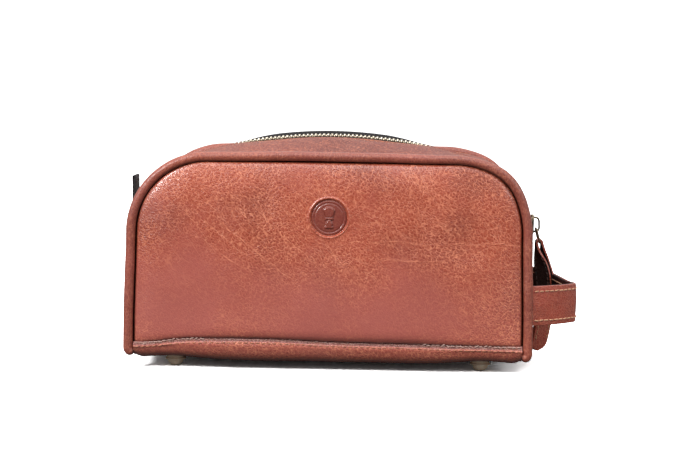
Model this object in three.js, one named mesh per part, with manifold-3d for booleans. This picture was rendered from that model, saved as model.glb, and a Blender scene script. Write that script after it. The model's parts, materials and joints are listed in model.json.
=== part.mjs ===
// Leather shaving kit bag: a boxy arched pouch with piped edges, a zip over the top, feet and a wrist strap.
// Millimetres. X runs along the bag (strap end at +X), the front faces -Y, Z = 0 is the floor under the feet.
import * as THREE from "three";
import { mergeVertices } from "three/addons/utils/BufferGeometryUtils.js";
import Module from "manifold-3d";

const wasm = await Module();
wasm.setup();

// Driving dimensions
const leftReach = 119.2; // bag centre to the outer face of the grab tab
const rightReach = 142; // bag centre to the outside of the wrist strap
const fitGap = 0.3; // clearance between neighbouring pieces
const hingeZ = 78; // height of the zip's ends, where the mouth starts to open
const pipingY = 52; // piping centre line, in front of and behind the bag's middle
const pipingHalfWidth = 111.7;
const pipingTopZ = 122;
const pipingCornerRadius = 43;
const pipingRadius = 2.3;
const pipingBottomZ = 9.6;
const ridgeHalfWidth = 115.6; // outline of the gusset along the zip
const ridgeTopZ = 133.2;
const ridgeCornerRadius = 42;
const leather = 1.7; // thickness of gusset, side and base leather
const panelThickness = 2.2; // leather with its backing
const panelBulge = 4.4;
const baseZ = 7.3; // underside of the base leather
const baseHalfWidth = 106.4;
const baseEndTuck = 1.5; // how much narrower the base is at its lowest
const baseFlapZ = 15.9; // raw top edge of the base leather, lapped up over the front and back
const liningThickness = 0.8;
const footX = 87.5;
const footY = 38;
const postRadius = 1.4;
const boardZ = 9.3;
const boardThickness = 1.5;
const washerZ = 11.1;
const tubFloorZ = 13.1;
const tubWidth = 216;
const tubDepth = 97.6;
const tubCorner = 8;
const strapLowZ = 28.5;
const strapHighZ = 51;
const strapLayer = 1.5;
const teethHeight = 1.3;
const sliderZ = 81;
const linkTopZ = 78.6;
const pullPivotZ = 70.4;
const cornerSteps = 6;
const topSteps = 8;

// Materials
function finish(color, roughness, metalness = 0) {
  return new THREE.MeshStandardMaterial({ color, roughness, metalness });
}
const materials = {
  leather: () => finish(0xb5654f, 0.45),
  piping: () => finish(0x9e6053, 0.5),
  strap: () => finish(0x97534a, 0.5),
  board: () => finish(0x6b5b4a, 0.9),
  lining: () => finish(0x241d1c, 0.95),
  tape: () => finish(0x1c1a1c, 0.9),
  zipMetal: () => finish(0x9a7a45, 0.35, 1),
  footMetal: () => finish(0xb39a72, 0.3, 1),
};

// A closed geometry from points and triangles, turned so that its faces point out.
function closedGeometry(points, triangles) {
  let volume = 0;
  for (const [a, b, c] of triangles) {
    volume += points[a].dot(points[b].clone().cross(points[c]));
  }
  const ordered = volume < 0 ? triangles.map(([a, b, c]) => [a, c, b]) : triangles;
  const geometry = new THREE.BufferGeometry().setFromPoints(points);
  geometry.setIndex(ordered.flat());
  return geometry;
}

// A thin solid between two grids of points with the same rows and columns.
function shell(outer, inner) {
  const rows = outer.length;
  const columns = outer[0].length;
  const points = [...outer.flat(), ...inner.flat()];
  const at = (side, row, column) => (side * rows + row) * columns + column;
  const triangles = [];
  const quad = (a, b, c, d) => triangles.push([a, b, c], [a, c, d]);
  for (let r = 0; r < rows - 1; r++) {
    for (let c = 0; c < columns - 1; c++) {
      quad(at(0, r, c), at(0, r, c + 1), at(0, r + 1, c + 1), at(0, r + 1, c));
      quad(at(1, r, c), at(1, r + 1, c), at(1, r + 1, c + 1), at(1, r, c + 1));
    }
    const last = columns - 1;
    quad(at(0, r, 0), at(0, r + 1, 0), at(1, r + 1, 0), at(1, r, 0));
    quad(at(0, r, last), at(1, r, last), at(1, r + 1, last), at(0, r + 1, last));
  }
  for (let c = 0; c < columns - 1; c++) {
    const last = rows - 1;
    quad(at(0, 0, c), at(1, 0, c), at(1, 0, c + 1), at(0, 0, c + 1));
    quad(at(0, last, c), at(0, last, c + 1), at(1, last, c + 1), at(1, last, c));
  }
  return closedGeometry(points, triangles);
}

function spread(low, high, steps) {
  return Array.from({ length: steps + 1 }, (_, i) => low + ((high - low) * i) / steps);
}

// Booleans
function solid(geometry) {
  const bare = new THREE.BufferGeometry();
  bare.setAttribute("position", geometry.getAttribute("position"));
  if (geometry.index) bare.setIndex(geometry.index);
  const merged = mergeVertices(bare, 1e-4);
  const vertProperties = new Float32Array(merged.attributes.position.array);
  const triVerts = new Uint32Array(merged.index.array);
  return new wasm.Manifold(new wasm.Mesh({ numProp: 3, vertProperties, triVerts }));
}

function fromSolid(made) {
  const mesh = made.getMesh();
  const geometry = new THREE.BufferGeometry();
  geometry.setAttribute("position", new THREE.BufferAttribute(new Float32Array(mesh.vertProperties), 3));
  geometry.setIndex(new THREE.BufferAttribute(new Uint32Array(mesh.triVerts), 1));
  return geometry;
}

function cut(geometry, cutters) {
  return fromSolid(cutters.reduce((body, cutter) => body.subtract(solid(cutter)), solid(geometry)));
}

function cylinder(radius, height, x, y, z, sides = 10) {
  return new THREE.CylinderGeometry(radius, radius, height, sides)
    .rotateX(Math.PI / 2)
    .translate(x, y, z + height / 2);
}

// A basket-handle arch that springs vertically at hingeZ: a small arc at each corner, one long arc on top.
function archPoint(halfWidth, topZ, cornerRadius, station) {
  const rise = topZ - hingeZ;
  const inset = halfWidth - cornerRadius;
  const topRadius = (inset ** 2 + rise ** 2 - cornerRadius ** 2) / (2 * (rise - cornerRadius));
  const lean = Math.atan2(inset, topRadius - rise); // angle from upright where the arcs meet
  const last = 2 * cornerSteps + topSteps;
  const mirrored = station > last / 2;
  const step = mirrored ? last - station : station;
  let angle;
  let point;
  if (step <= cornerSteps) {
    angle = ((Math.PI / 2 - lean) * step) / cornerSteps;
    point = [inset + cornerRadius * Math.cos(angle), hingeZ + cornerRadius * Math.sin(angle)];
  } else {
    angle = Math.PI / 2 - lean * (1 - (step - cornerSteps) / (topSteps / 2));
    point = [topRadius * Math.cos(angle), topZ - topRadius + topRadius * Math.sin(angle)];
  }
  const side = mirrored ? -1 : 1;
  return {
    x: side * point[0],
    z: point[1],
    normal: new THREE.Vector3(side * Math.cos(angle), 0, Math.sin(angle)),
  };
}
const stations = spread(0, 2 * cornerSteps + topSteps, 2 * cornerSteps + topSteps);

const gussetEdgeY = pipingY - pipingRadius - fitGap;

// How far the gusset has risen from the piping (0) to the ridge (1) at a distance y from the bag's middle.
function crown(y) {
  return 1 - (Math.abs(y) / gussetEdgeY) ** 1.7;
}

// A point of the gusset's outer surface over the arch, lifted along its normal.
function gussetPoint(station, y, lift) {
  const edge = archPoint(pipingHalfWidth, pipingTopZ, pipingCornerRadius, station);
  const ridge = archPoint(ridgeHalfWidth, ridgeTopZ, ridgeCornerRadius, station);
  const share = crown(y);
  return new THREE.Vector3(
    THREE.MathUtils.lerp(edge.x, ridge.x, share),
    y,
    THREE.MathUtils.lerp(edge.z, ridge.z, share),
  ).addScaledVector(ridge.normal, lift);
}

// A strip over the whole arch. Each edge has a y and a lift, and the strip starts just above the hinge line.
function archStrip(side, edges, thickness) {
  const grid = (drop) =>
    stations.map((station) =>
      edges.map(([y, lift]) => {
        const point = gussetPoint(station, side * y, lift - drop);
        point.z = Math.max(point.z, hingeZ + fitGap / 2);
        return point;
      }),
    );
  return shell(grid(0), grid(thickness));
}

// Half the panel's width at a height, inside the piping.
function panelHalfWidth(z, inset) {
  const halfWidth = pipingHalfWidth - inset;
  const radius = pipingCornerRadius - inset;
  const rise = z - hingeZ;
  if (rise <= 0) return halfWidth;
  return halfWidth - radius + Math.sqrt(Math.max(radius ** 2 - rise ** 2, 0));
}

// Distance of the front panel's outer face from the bag's middle, crowned like a filled cushion.
function panelFaceY(across, z) {
  const middleZ = (pipingTopZ + pipingBottomZ) / 2;
  const up = (z - middleZ) / ((pipingTopZ - pipingBottomZ) / 2);
  const crownShare = (1 - Math.abs(across) ** 6) * (1 - Math.abs(up) ** 6);
  return pipingY + 0.4 + panelBulge * Math.max(crownShare, 0);
}

// A sheet parallel to the front or back panel, given row by row.
function panelSheet(side, rows, inset, thickness, faceY) {
  const columns = [-1, -0.95, -0.85, -0.65, 0, 0.65, 0.85, 0.95, 1];
  const grid = (drop) =>
    rows.map((z) => {
      const half = panelHalfWidth(z, inset) - (z < pipingBottomZ + 4 ? 2 : 0); // clear of the tucked piping
      return columns.map((across) => new THREE.Vector3(across * half, side * (faceY(across, z) - drop), z));
    });
  return shell(grid(0), grid(thickness));
}

const panelInset = pipingRadius + fitGap;

function lowerPanel(side) {
  const lapTop = baseFlapZ + 0.4; // below this the panel is flat behind the lap of the base leather
  const face = (across, z) => (z > lapTop ? panelFaceY(across, z) : pipingY);
  const rows = [12.3, lapTop, 19, 24, 34, 48, 64, hingeZ - fitGap / 2];
  return panelSheet(side, rows, panelInset, panelThickness, face);
}

function archRows(highZ, steps) {
  const lowZ = hingeZ + fitGap / 2;
  return spread(0, 1, steps).map((share) => lowZ + (highZ - hingeZ) * Math.sin((share * Math.PI) / 2));
}

function upperPanel(side) {
  const rows = archRows(pipingTopZ - panelInset - 1.2, 7);
  return panelSheet(side, rows, panelInset, panelThickness, panelFaceY);
}

function upperPanelLining(side) {
  const face = () => pipingY - panelThickness - fitGap;
  return panelSheet(side, archRows(113, 6), 8, liningThickness, face);
}

// Piping: a round cord cover swept in the plane of the panel's edge.
function sweptTube(points, radius, steps, sides) {
  const section = new THREE.Shape(
    spread(0, sides - 1, sides - 1).map((i) => {
      const angle = (2 * Math.PI * (i + 0.5)) / sides;
      return new THREE.Vector2(radius * Math.cos(angle), radius * Math.sin(angle));
    }),
  );
  const path = new THREE.CatmullRomCurve3(points, false, "centripetal");
  return new THREE.ExtrudeGeometry(section, { steps, extrudePath: path, bevelEnabled: false });
}

function upperPiping(side) {
  const points = stations.map((station) => {
    const { x, z } = archPoint(pipingHalfWidth, pipingTopZ, pipingCornerRadius, station);
    return new THREE.Vector3(x, side * pipingY, Math.max(z, hingeZ + fitGap / 2));
  });
  return sweptTube(points, pipingRadius, 30, 8);
}

// A wire bent into a closed ring that lies in one plane.
function closedTube(points, radius, sides) {
  const count = points.length;
  const planeNormal = points[1].clone().sub(points[0]).cross(points[5].clone().sub(points[0])).normalize();
  const rings = points.map((point, i) => {
    const along = points[(i + 1) % count].clone().sub(points[(i + count - 1) % count]).normalize();
    const out = along.cross(planeNormal).normalize();
    return spread(0, sides - 1, sides - 1).map((k) => {
      const angle = (2 * Math.PI * k) / sides;
      return point
        .clone()
        .addScaledVector(out, radius * Math.cos(angle))
        .addScaledVector(planeNormal, radius * Math.sin(angle));
    });
  });
  const triangles = [];
  const at = (ring, k) => (ring % count) * sides + (k % sides);
  for (let r = 0; r < count; r++) {
    for (let k = 0; k < sides; k++) {
      triangles.push([at(r, k), at(r, k + 1), at(r + 1, k + 1)], [at(r, k), at(r + 1, k + 1), at(r + 1, k)]);
    }
  }
  return closedGeometry(rings.flat(), triangles);
}

function lowerPiping(side, end) {
  const tuck = 5; // the piping turns in under the corner before it is cut off
  const points = [
    new THREE.Vector3(end * pipingHalfWidth, side * pipingY, hingeZ - fitGap / 2),
    new THREE.Vector3(end * pipingHalfWidth, side * pipingY, 50),
    new THREE.Vector3(end * pipingHalfWidth, side * pipingY, pipingBottomZ + tuck),
    new THREE.Vector3(end * (pipingHalfWidth - tuck * 0.3), side * pipingY, pipingBottomZ + tuck * 0.3),
    new THREE.Vector3(end * (pipingHalfWidth - tuck * 0.8), side * pipingY, pipingBottomZ),
  ];
  return sweptTube(points, pipingRadius, 10, 8);
}

// Side panel: the end gusset below the zip, bowed outwards and tucked in at the floor.
function sidePanel(end) {
  const rows = [baseZ + 2.6, 12, 16, 24, 44, 64, hingeZ - fitGap / 2];
  const grid = (drop) =>
    rows.map((z) =>
      spread(-gussetEdgeY, gussetEdgeY, 10).map((y) => {
        const tuck = 4.5 * Math.max(0, (18 - z) / 10) ** 2;
        const x = THREE.MathUtils.lerp(pipingHalfWidth, ridgeHalfWidth, crown(y)) - tuck - drop;
        return new THREE.Vector3(end * x, y, z);
      }),
    );
  return shell(grid(0), grid(leather));
}

// Base: one piece of leather under the bag, turned up over the foot of the front and back panels.
function basePanel() {
  const lapY = pipingY + fitGap + leather;
  const bend = 4.5;
  const profile = (drop) => {
    const turn = spread(0, Math.PI / 2, 3).map((angle) => [
      lapY - bend + (bend - drop) * Math.cos(angle),
      baseZ + bend - (bend - drop) * Math.sin(angle),
    ]);
    const half = [[lapY - drop, baseFlapZ], ...turn];
    return [...half, ...half.map(([y, z]) => [-y, z]).reverse()];
  };
  const grid = (drop) =>
    spread(-1, 1, 4).map((across) =>
      profile(drop).map(([y, z]) => {
        const low = Math.max(0, (baseZ + 4 - z) / 4);
        return new THREE.Vector3(across * (baseHalfWidth - baseEndTuck * low), y, z);
      }),
    );
  const holes = footPlaces().map(([x, y]) => cylinder(postRadius + fitGap, 20, x, y, 0));
  return cut(shell(grid(0), grid(leather)), holes);
}

function footPlaces() {
  return [
    [-footX, -footY, "front_left"],
    [footX, -footY, "front_right"],
    [-footX, footY, "back_left"],
    [footX, footY, "back_right"],
  ];
}

function baseBoard() {
  const board = new THREE.BoxGeometry(200, 92, boardThickness).translate(0, 0, boardZ + boardThickness / 2);
  return cut(board, footPlaces().map(([x, y]) => cylinder(postRadius + fitGap, 20, x, y, 0)));
}

function foot() {
  const profile = [
    [0, 0],
    [2.2, 0],
    [3.8, 0.7],
    [4.6, 2.2],
    [4.6, 3.2],
    [6.15, 3.5],
    [6.15, 4.8],
    [5.2, 5.1],
    [5.2, baseZ - fitGap],
    [postRadius, baseZ - fitGap],
    [postRadius, 12.3],
    [0, 12.3],
  ].map(([radius, z]) => new THREE.Vector2(radius, z));
  return new THREE.LatheGeometry(profile, 14).rotateX(Math.PI / 2);
}

function footWasher() {
  const inner = postRadius + fitGap;
  const profile = [
    [inner, washerZ],
    [5, washerZ],
    [5, washerZ + 0.8],
    [inner, washerZ + 0.8],
    [inner, washerZ],
  ].map(([radius, z]) => new THREE.Vector2(radius, z));
  return new THREE.LatheGeometry(profile, 12).rotateX(Math.PI / 2);
}

// Lining: an open tub of cloth inside the lower half.
function roundedBox(width, depth, corner, lowZ, highZ) {
  const shape = new THREE.Shape();
  shape.moveTo(width / 2, -depth / 2 + corner);
  shape.absarc(width / 2 - corner, depth / 2 - corner, corner, 0, Math.PI / 2);
  shape.absarc(-width / 2 + corner, depth / 2 - corner, corner, Math.PI / 2, Math.PI);
  shape.absarc(-width / 2 + corner, -depth / 2 + corner, corner, Math.PI, 1.5 * Math.PI);
  shape.absarc(width / 2 - corner, -depth / 2 + corner, corner, 1.5 * Math.PI, 2 * Math.PI);
  const options = { depth: highZ - lowZ, bevelEnabled: false, curveSegments: 4 };
  return new THREE.ExtrudeGeometry(shape, options).translate(0, 0, lowZ);
}

function liningTub() {
  const topZ = hingeZ - 0.8;
  const outside = roundedBox(tubWidth, tubDepth, tubCorner, tubFloorZ, topZ);
  const inside = roundedBox(
    tubWidth - 2 * liningThickness,
    tubDepth - 2 * liningThickness,
    tubCorner - liningThickness,
    tubFloorZ + liningThickness,
    topZ + 5,
  );
  return cut(outside, [inside]);
}

// Wrist strap: a band sewn into the front and back piping seams that leans out in an uneven loop.
function strapPath() {
  const outside = rightReach - strapLayer;
  return new THREE.CatmullRomCurve3(
    [
      new THREE.Vector3(pipingHalfWidth + 4.4, -pipingY + 0.8, 0),
      new THREE.Vector3(pipingHalfWidth + 15, -pipingY + 8, 0),
      new THREE.Vector3(outside - 4.5, -pipingY + 15.5, 0),
      new THREE.Vector3(outside, -pipingY + 21.5, 0),
      new THREE.Vector3(outside - 2.4, -23, 0),
      new THREE.Vector3(outside - 6, -8, 0),
      new THREE.Vector3(outside - 10.3, 7, 0),
      new THREE.Vector3(pipingHalfWidth + 11.5, 28, 0),
      new THREE.Vector3(pipingHalfWidth + 4.4, pipingY - 0.8, 0),
    ],
    false,
    "centripetal",
  );
}

function strapLayerSheet(layer) {
  const path = strapPath();
  const steps = 22;
  const near = layer * (strapLayer / 2 + fitGap / 2) - strapLayer / 2;
  const grid = (drop) =>
    spread(0, 1, steps).map((share) => {
      const point = path.getPoint(share);
      const along = path.getTangent(share);
      const out = new THREE.Vector3(along.y, -along.x, 0).normalize();
      const place = point.addScaledVector(out, near + drop);
      return [strapLowZ, strapHighZ].map((z) => new THREE.Vector3(place.x, place.y, z));
    });
  return shell(grid(strapLayer), grid(0));
}

// Zip: tape, teeth, stops, slider, link and leather pull.
function zipStop(end) {
  const outerX = ridgeHalfWidth + teethHeight;
  return new THREE.BoxGeometry(teethHeight + 0.4, 5.6, 2.6).translate(end * (outerX - 0.3), 0, 73.4);
}

function grabTab() {
  // A folded piece of zip tape that stands up from the zip's left end
  const innerX = ridgeHalfWidth + teethHeight + fitGap;
  const grid = (x) => [71.5, 84, 107].map((z) => [-8, 8].map((y) => new THREE.Vector3(-x(z), y, z)));
  return shell(grid((z) => (z > 84 ? leftReach : leftReach - 0.5)), grid(() => innerX));
}

const sliderInnerX = ridgeHalfWidth + teethHeight + 0.4;
const sliderTopX = sliderInnerX + 2.4;

function sliderBody() {
  const shape = new THREE.Shape();
  shape.moveTo(-3.2, -5.8);
  shape.lineTo(3.2, -5.8);
  shape.lineTo(4.1, 1);
  shape.quadraticCurveTo(4.3, 5.6, 1.6, 6);
  shape.lineTo(-1.6, 6);
  shape.quadraticCurveTo(-4.3, 5.6, -4.1, 1);
  const plate = new THREE.ExtrudeGeometry(shape, { depth: 2.4, bevelEnabled: false, curveSegments: 4 });
  return plate.rotateZ(Math.PI / 2).rotateY(Math.PI / 2).translate(sliderInnerX, 0, sliderZ);
}

function sliderBridge() {
  // A flat strap of metal bent into a low C over the slider, which the link hangs on
  const foot = 1.1;
  const reach = 4.7; // from the middle to either end
  const x = sliderTopX + fitGap;
  const shape = new THREE.Shape();
  shape.moveTo(0, -reach);
  shape.lineTo(2, -reach);
  shape.quadraticCurveTo(3.5, -4.6, 3.5, -3);
  shape.lineTo(3.5, 3);
  shape.quadraticCurveTo(3.5, 4.6, 2, reach);
  shape.lineTo(0, reach);
  shape.lineTo(0, reach - foot);
  shape.lineTo(1.6, reach - foot);
  shape.quadraticCurveTo(2.4, 3.5, 2.4, 2.8);
  shape.lineTo(2.4, -2.8);
  shape.quadraticCurveTo(2.4, -3.5, 1.6, foot - reach);
  shape.lineTo(0, foot - reach);
  const bar = new THREE.ExtrudeGeometry(shape, { depth: 2.2, bevelEnabled: false, curveSegments: 3 });
  return bar.rotateX(Math.PI / 2).translate(x, 1.1, sliderZ);
}

const linkWire = 0.55;
const linkX = sliderTopX + fitGap + 1.2;
const linkLean = 2.1;

function pullLink() {
  // A wire ring with round corners: its top bar passes through the bridge, its foot through the leather's fold
  const half = 5.2;
  const corner = 1.1;
  const rise = linkTopZ - pullPivotZ;
  const lean = (z) => (linkLean * (linkTopZ - z)) / rise; // the ring slopes outwards over the slider
  const turns = [[1, 1], [-1, 1], [-1, -1], [1, -1]].flatMap(([sideY, sideZ], quarter) =>
    [0, 0.5, 1].map((share) => {
      const angle = ((quarter + share) * Math.PI) / 2;
      const y = sideY * (half - corner) + corner * Math.cos(angle);
      const z = (linkTopZ + pullPivotZ) / 2 + sideZ * (rise / 2 - corner) + corner * Math.sin(angle);
      return new THREE.Vector3(linkX + lean(z), y, z);
    }),
  );
  return closedTube(turns, linkWire, 6);
}

function leatherPull() {
  // One strip of leather folded over the link's foot, hanging with its two tails face to face
  const fold = linkWire + 0.4;
  const thickness = 1.3;
  const pivotX = linkX + linkLean;
  const spine = (z) => pivotX + 2.5 * Math.sin(Math.PI * Math.min(1, (pullPivotZ - z) / 66)) ** 1.2;
  const rows = [5, 8, 20, 34, 48, 60, 66];
  const tail = (side, drop) =>
    rows.map((z) => [spine(z) + side * (0.16 + (fold - 0.16) * Math.max(0, (z - 58) / 8) + drop), z]);
  const over = (radius) =>
    spread(0, Math.PI, 6).map((angle) => {
      return [pivotX + radius * Math.cos(angle), pullPivotZ + radius * Math.sin(angle)];
    });
  const line = (drop) => [...tail(1, drop), ...over(fold + drop), ...tail(-1, drop).reverse()];
  const widthAt = (z) => (z < 8 ? 4.2 : 6 - 2.5 * THREE.MathUtils.smoothstep(z, 50, 64)); // narrow at the ring
  const grid = (drop) =>
    line(drop).map(([x, z]) => [-1, 1].map((side) => new THREE.Vector3(x, side * widthAt(z), z)));
  return shell(grid(thickness), grid(0));
}

// Assembly
const bag = new THREE.Group();
bag.position.x = (leftReach - rightReach) / 2;

function place(name, geometry, material) {
  const mesh = new THREE.Mesh(geometry, materials[material]());
  mesh.name = name;
  bag.add(mesh);
  return mesh;
}

place("base_panel", basePanel(), "leather");
place("base_board", baseBoard(), "board");
place("lining_tub", liningTub(), "lining");

for (const [face, side] of [["front", -1], ["back", 1]]) {
  place(`${face}_panel_lower`, lowerPanel(side), "leather");
  place(`${face}_panel_upper`, upperPanel(side), "leather");
  place(`${face}_panel_lining`, upperPanelLining(side), "lining");
  place(`${face}_piping_upper`, upperPiping(side), "piping");
  place(`${face}_piping_left`, lowerPiping(side, -1), "piping");
  place(`${face}_piping_right`, lowerPiping(side, 1), "piping");
  const topStrip = spread(6, gussetEdgeY, 5).map((y) => [y, 0]);
  place(`${face}_top_gusset`, archStrip(side, topStrip, leather), "leather");
  const liningStrip = spread(14, 47.6, 3).map((y) => [y, -leather - 0.6]);
  place(`${face}_gusset_lining`, archStrip(side, liningStrip, liningThickness), "lining");
  const tapeStrip = [[1.6, -0.4], [4, -0.9], [5.7, -leather - 0.4], [12.5, -leather - 0.4]];
  place(`${face}_zip_tape`, archStrip(side, tapeStrip, 0.6), "tape");
  const teethStrip = [[0.2, teethHeight], [3, teethHeight]];
  place(`${face}_zip_teeth`, archStrip(side, teethStrip, teethHeight + 0.2), "zipMetal");
}

place("left_side_panel", sidePanel(-1), "leather");
place("right_side_panel", sidePanel(1), "leather");
place("zip_top_stop", zipStop(1), "zipMetal");
place("zip_grab_tab", grabTab(), "tape");
place("wrist_strap_outer", strapLayerSheet(1), "strap");
place("wrist_strap_lining", strapLayerSheet(-1), "strap");

for (const [x, y, corner] of footPlaces()) {
  place(`foot_${corner}`, foot(), "footMetal").position.set(x, y, 0);
  place(`foot_washer_${corner}`, footWasher(), "footMetal").position.set(x, y, 0);
}

place("slider_body", sliderBody(), "zipMetal");
place("slider_bridge", sliderBridge(), "zipMetal");
place("pull_link", pullLink(), "zipMetal");
place("leather_pull", leatherPull(), "strap");

export default bag;
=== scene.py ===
import json
import math
import bmesh
import bpy
import numpy as np
from mathutils import Matrix, Vector, noise

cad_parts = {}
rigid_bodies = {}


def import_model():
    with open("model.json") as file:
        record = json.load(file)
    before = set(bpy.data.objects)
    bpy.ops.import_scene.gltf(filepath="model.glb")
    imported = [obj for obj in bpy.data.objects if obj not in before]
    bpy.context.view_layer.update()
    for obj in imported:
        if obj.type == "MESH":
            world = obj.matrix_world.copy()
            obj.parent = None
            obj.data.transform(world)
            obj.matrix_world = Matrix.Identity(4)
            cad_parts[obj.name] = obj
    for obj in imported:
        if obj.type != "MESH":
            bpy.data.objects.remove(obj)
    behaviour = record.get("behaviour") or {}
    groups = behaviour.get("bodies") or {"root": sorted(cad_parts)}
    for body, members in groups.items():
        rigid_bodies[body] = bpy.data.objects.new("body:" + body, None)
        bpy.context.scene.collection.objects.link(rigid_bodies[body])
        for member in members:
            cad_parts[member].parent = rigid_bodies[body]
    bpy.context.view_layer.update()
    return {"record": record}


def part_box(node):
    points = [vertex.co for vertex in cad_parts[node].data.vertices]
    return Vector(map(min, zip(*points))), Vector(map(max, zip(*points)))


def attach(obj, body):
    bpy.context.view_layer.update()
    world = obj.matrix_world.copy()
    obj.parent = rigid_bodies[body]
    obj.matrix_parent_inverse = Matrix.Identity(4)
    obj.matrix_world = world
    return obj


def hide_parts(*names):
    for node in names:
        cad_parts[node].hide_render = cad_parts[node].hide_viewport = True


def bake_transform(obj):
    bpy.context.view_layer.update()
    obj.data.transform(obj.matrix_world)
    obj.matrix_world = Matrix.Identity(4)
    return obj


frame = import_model()
mm = 0.001
print("frame loaded")



def boxOf(node):
    return [Vector(corner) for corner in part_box(node)]


# Main sizes, read from the frame
pipeLow, pipeHigh = boxOf("front_piping_upper")
teethLow, teethHigh = boxOf("front_zip_teeth")
baseLow, baseHigh = boxOf("base_panel")
joints = {joint["name"]: joint for joint in frame["record"]["behaviour"]["joints"]}
hingeZ = joints["front_mouth_open"]["pos_m"][2]
cordHalf = (pipeHigh.y - pipeLow.y) / 2
midX = (pipeLow.x + pipeHigh.x) / 2
bag = {
    "pipingY": -(pipeLow.y + pipeHigh.y) / 2,
    "pipingHalf": (pipeHigh.x - pipeLow.x) / 2 - cordHalf,
    "pipingTop": pipeHigh.z - cordHalf,
    "pipingCorner": 43 * mm,
    "pipingRadius": 2.7 * mm,
    "teethHeight": 1.3 * mm,
    "ridgeCorner": 42 * mm,
    "baseZ": baseLow.z,
    "flapZ": baseHigh.z,
    "leather": 1.7 * mm,
    "bendStart": hingeZ + 1 * mm,  # just above the hinge
    "bendEnd": hingeZ + 27 * mm,
}
bag["ridgeHalf"] = (teethHigh.x - teethLow.x) / 2 - bag["teethHeight"]
bag["ridgeTop"] = teethHigh.z - bag["teethHeight"]
bagMiddle = Vector((midX, 0, 65 * mm))


# Node helpers
class Shader:
    # a short way to write a node tree
    def __init__(self, name):
        self.material = bpy.data.materials.new(name)
        self.material.use_nodes = True
        self.tree = self.material.node_tree
        self.tree.nodes.clear()
        self.output = self.add("ShaderNodeOutputMaterial")

    def add(self, kind, settings=None, **inputs):
        node = self.tree.nodes.new(kind)
        for key, value in (settings or {}).items():
            setattr(node, key, value)
        for key, value in inputs.items():
            self.set(node, key, value)
        return node

    def set(self, node, key, value):
        names = [socket.name.replace(" ", "") for socket in node.inputs]
        socket = node.inputs[int(key[1:])] if key[0] == "_" else node.inputs[names.index(key)]
        if isinstance(value, bpy.types.NodeSocket):
            self.tree.links.new(value, socket)
        else:
            socket.default_value = value

    def math(self, operation, a, b=0.0):
        return self.add("ShaderNodeMath", {"operation": operation}, _0=a, _1=b).outputs[0]

    def vector(self, operation, a, b, output=0):
        node = self.add("ShaderNodeVectorMath", {"operation": operation}, _0=a)
        self.set(node, "_3" if operation == "SCALE" else "_1", b)
        return node.outputs[output]

    def ramp(self, value, stops):
        node = self.add("ShaderNodeValToRGB", Fac=value)
        ramp = node.color_ramp
        while len(ramp.elements) < len(stops):
            ramp.elements.new(0.5)
        for element, (place, colour) in zip(ramp.elements, stops):
            element.position = place
            element.color = (*colour, 1)
        return node.outputs[0]

    def grey(self, value, low, high, lowOut=0.0, highOut=1.0):
        node = self.add("ShaderNodeMapRange", _0=value, _1=low, _2=high, _3=lowOut, _4=highOut)
        return node.outputs[0]

    def mix(self, share, a, b):
        node = self.add("ShaderNodeMix", {"data_type": "RGBA"}, _0=share)
        for key, colour in (("_6", a), ("_7", b)):
            self.set(node, key, colour if isinstance(colour, bpy.types.NodeSocket) else (*colour, 1))
        return node.outputs[2]

    def objectPlace(self):
        return self.add("ShaderNodeTexCoord").outputs["Object"]

    def mapped(self, place, scale=(1, 1, 1), turn=(0, 0, 0)):
        return self.add("ShaderNodeMapping", Vector=place, Scale=scale, Rotation=turn).outputs[0]

    def noise(self, place, scale, detail=4.0, rough=0.55, output=0):
        node = self.add("ShaderNodeTexNoise", Vector=place, Scale=scale, Detail=detail, Roughness=rough)
        return node.outputs[output]

    def cellEdges(self, place, scale):
        node = self.add("ShaderNodeTexVoronoi", {"feature": "DISTANCE_TO_EDGE"}, Vector=place, Scale=scale)
        return node.outputs["Distance"]

    def attribute(self, name):
        return self.add("ShaderNodeAttribute", {"attribute_name": name}).outputs["Fac"]

    def bump(self, height, distance, strength):
        return self.add("ShaderNodeBump", Height=height, Distance=distance, Strength=strength).outputs[0]

    def finish(self, **inputs):
        shader = self.add("ShaderNodeBsdfPrincipled", **inputs)
        self.tree.links.new(shader.outputs[0], self.output.inputs[0])
        return self.material


# Leather, cloth and metal
def warped(s, place, scale, amount):
    # the place pushed about by slow noise, so that patterns lose their straight lines
    drift = s.noise(place, scale, 2, output=1)
    centred = s.vector("SUBTRACT", drift, (0.5, 0.5, 0.5))
    return s.vector("ADD", place, s.vector("SCALE", centred, amount))


def wrinkleLines(s, place, scale, width):
    # thin wandering lines where a slow noise crosses its middle value
    off = s.math("ABSOLUTE", s.math("SUBTRACT", s.noise(place, scale, 2, 0.5), 0.5))
    return s.grey(off, 0.0, width, 1.0, 0.0)


crease = {"swayScale": 55, "breakScale": 240, "faintest": 0.15, "fade": 10 * mm}


def creaseAt(s, place, start, end, width, wobble):
    # one long crease across the front or back, from start to end in x and z
    start, end = [Vector((midX + x * mm, 0, z * mm)) for x, z in (start, end)]
    along = (end - start).normalized()
    across = Vector((-along.z, 0, along.x))
    u = s.math("SUBTRACT", s.vector("DOT_PRODUCT", place, along, 1), start.dot(along))
    v = s.math("SUBTRACT", s.vector("DOT_PRODUCT", place, across, 1), start.dot(across))
    sway = s.math("MULTIPLY", s.math("SUBTRACT", s.noise(place, crease["swayScale"], 3, 0.6), 0.5), wobble)
    line = s.grey(s.math("ABSOLUTE", s.math("ADD", v, sway)), 0.0, width, 1.0, 0.0)
    fade = crease["fade"]
    length = (end - start).length
    ends = s.math("MULTIPLY", s.grey(u, -fade, fade), s.grey(u, length - fade, length + fade, 1.0, 0.0))
    broken = s.grey(s.noise(place, crease["breakScale"], 3, 0.6), 0.36, 0.56, crease["faintest"], 1.0)
    return s.math("MULTIPLY", s.math("MULTIPLY", line, ends), broken)


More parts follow.
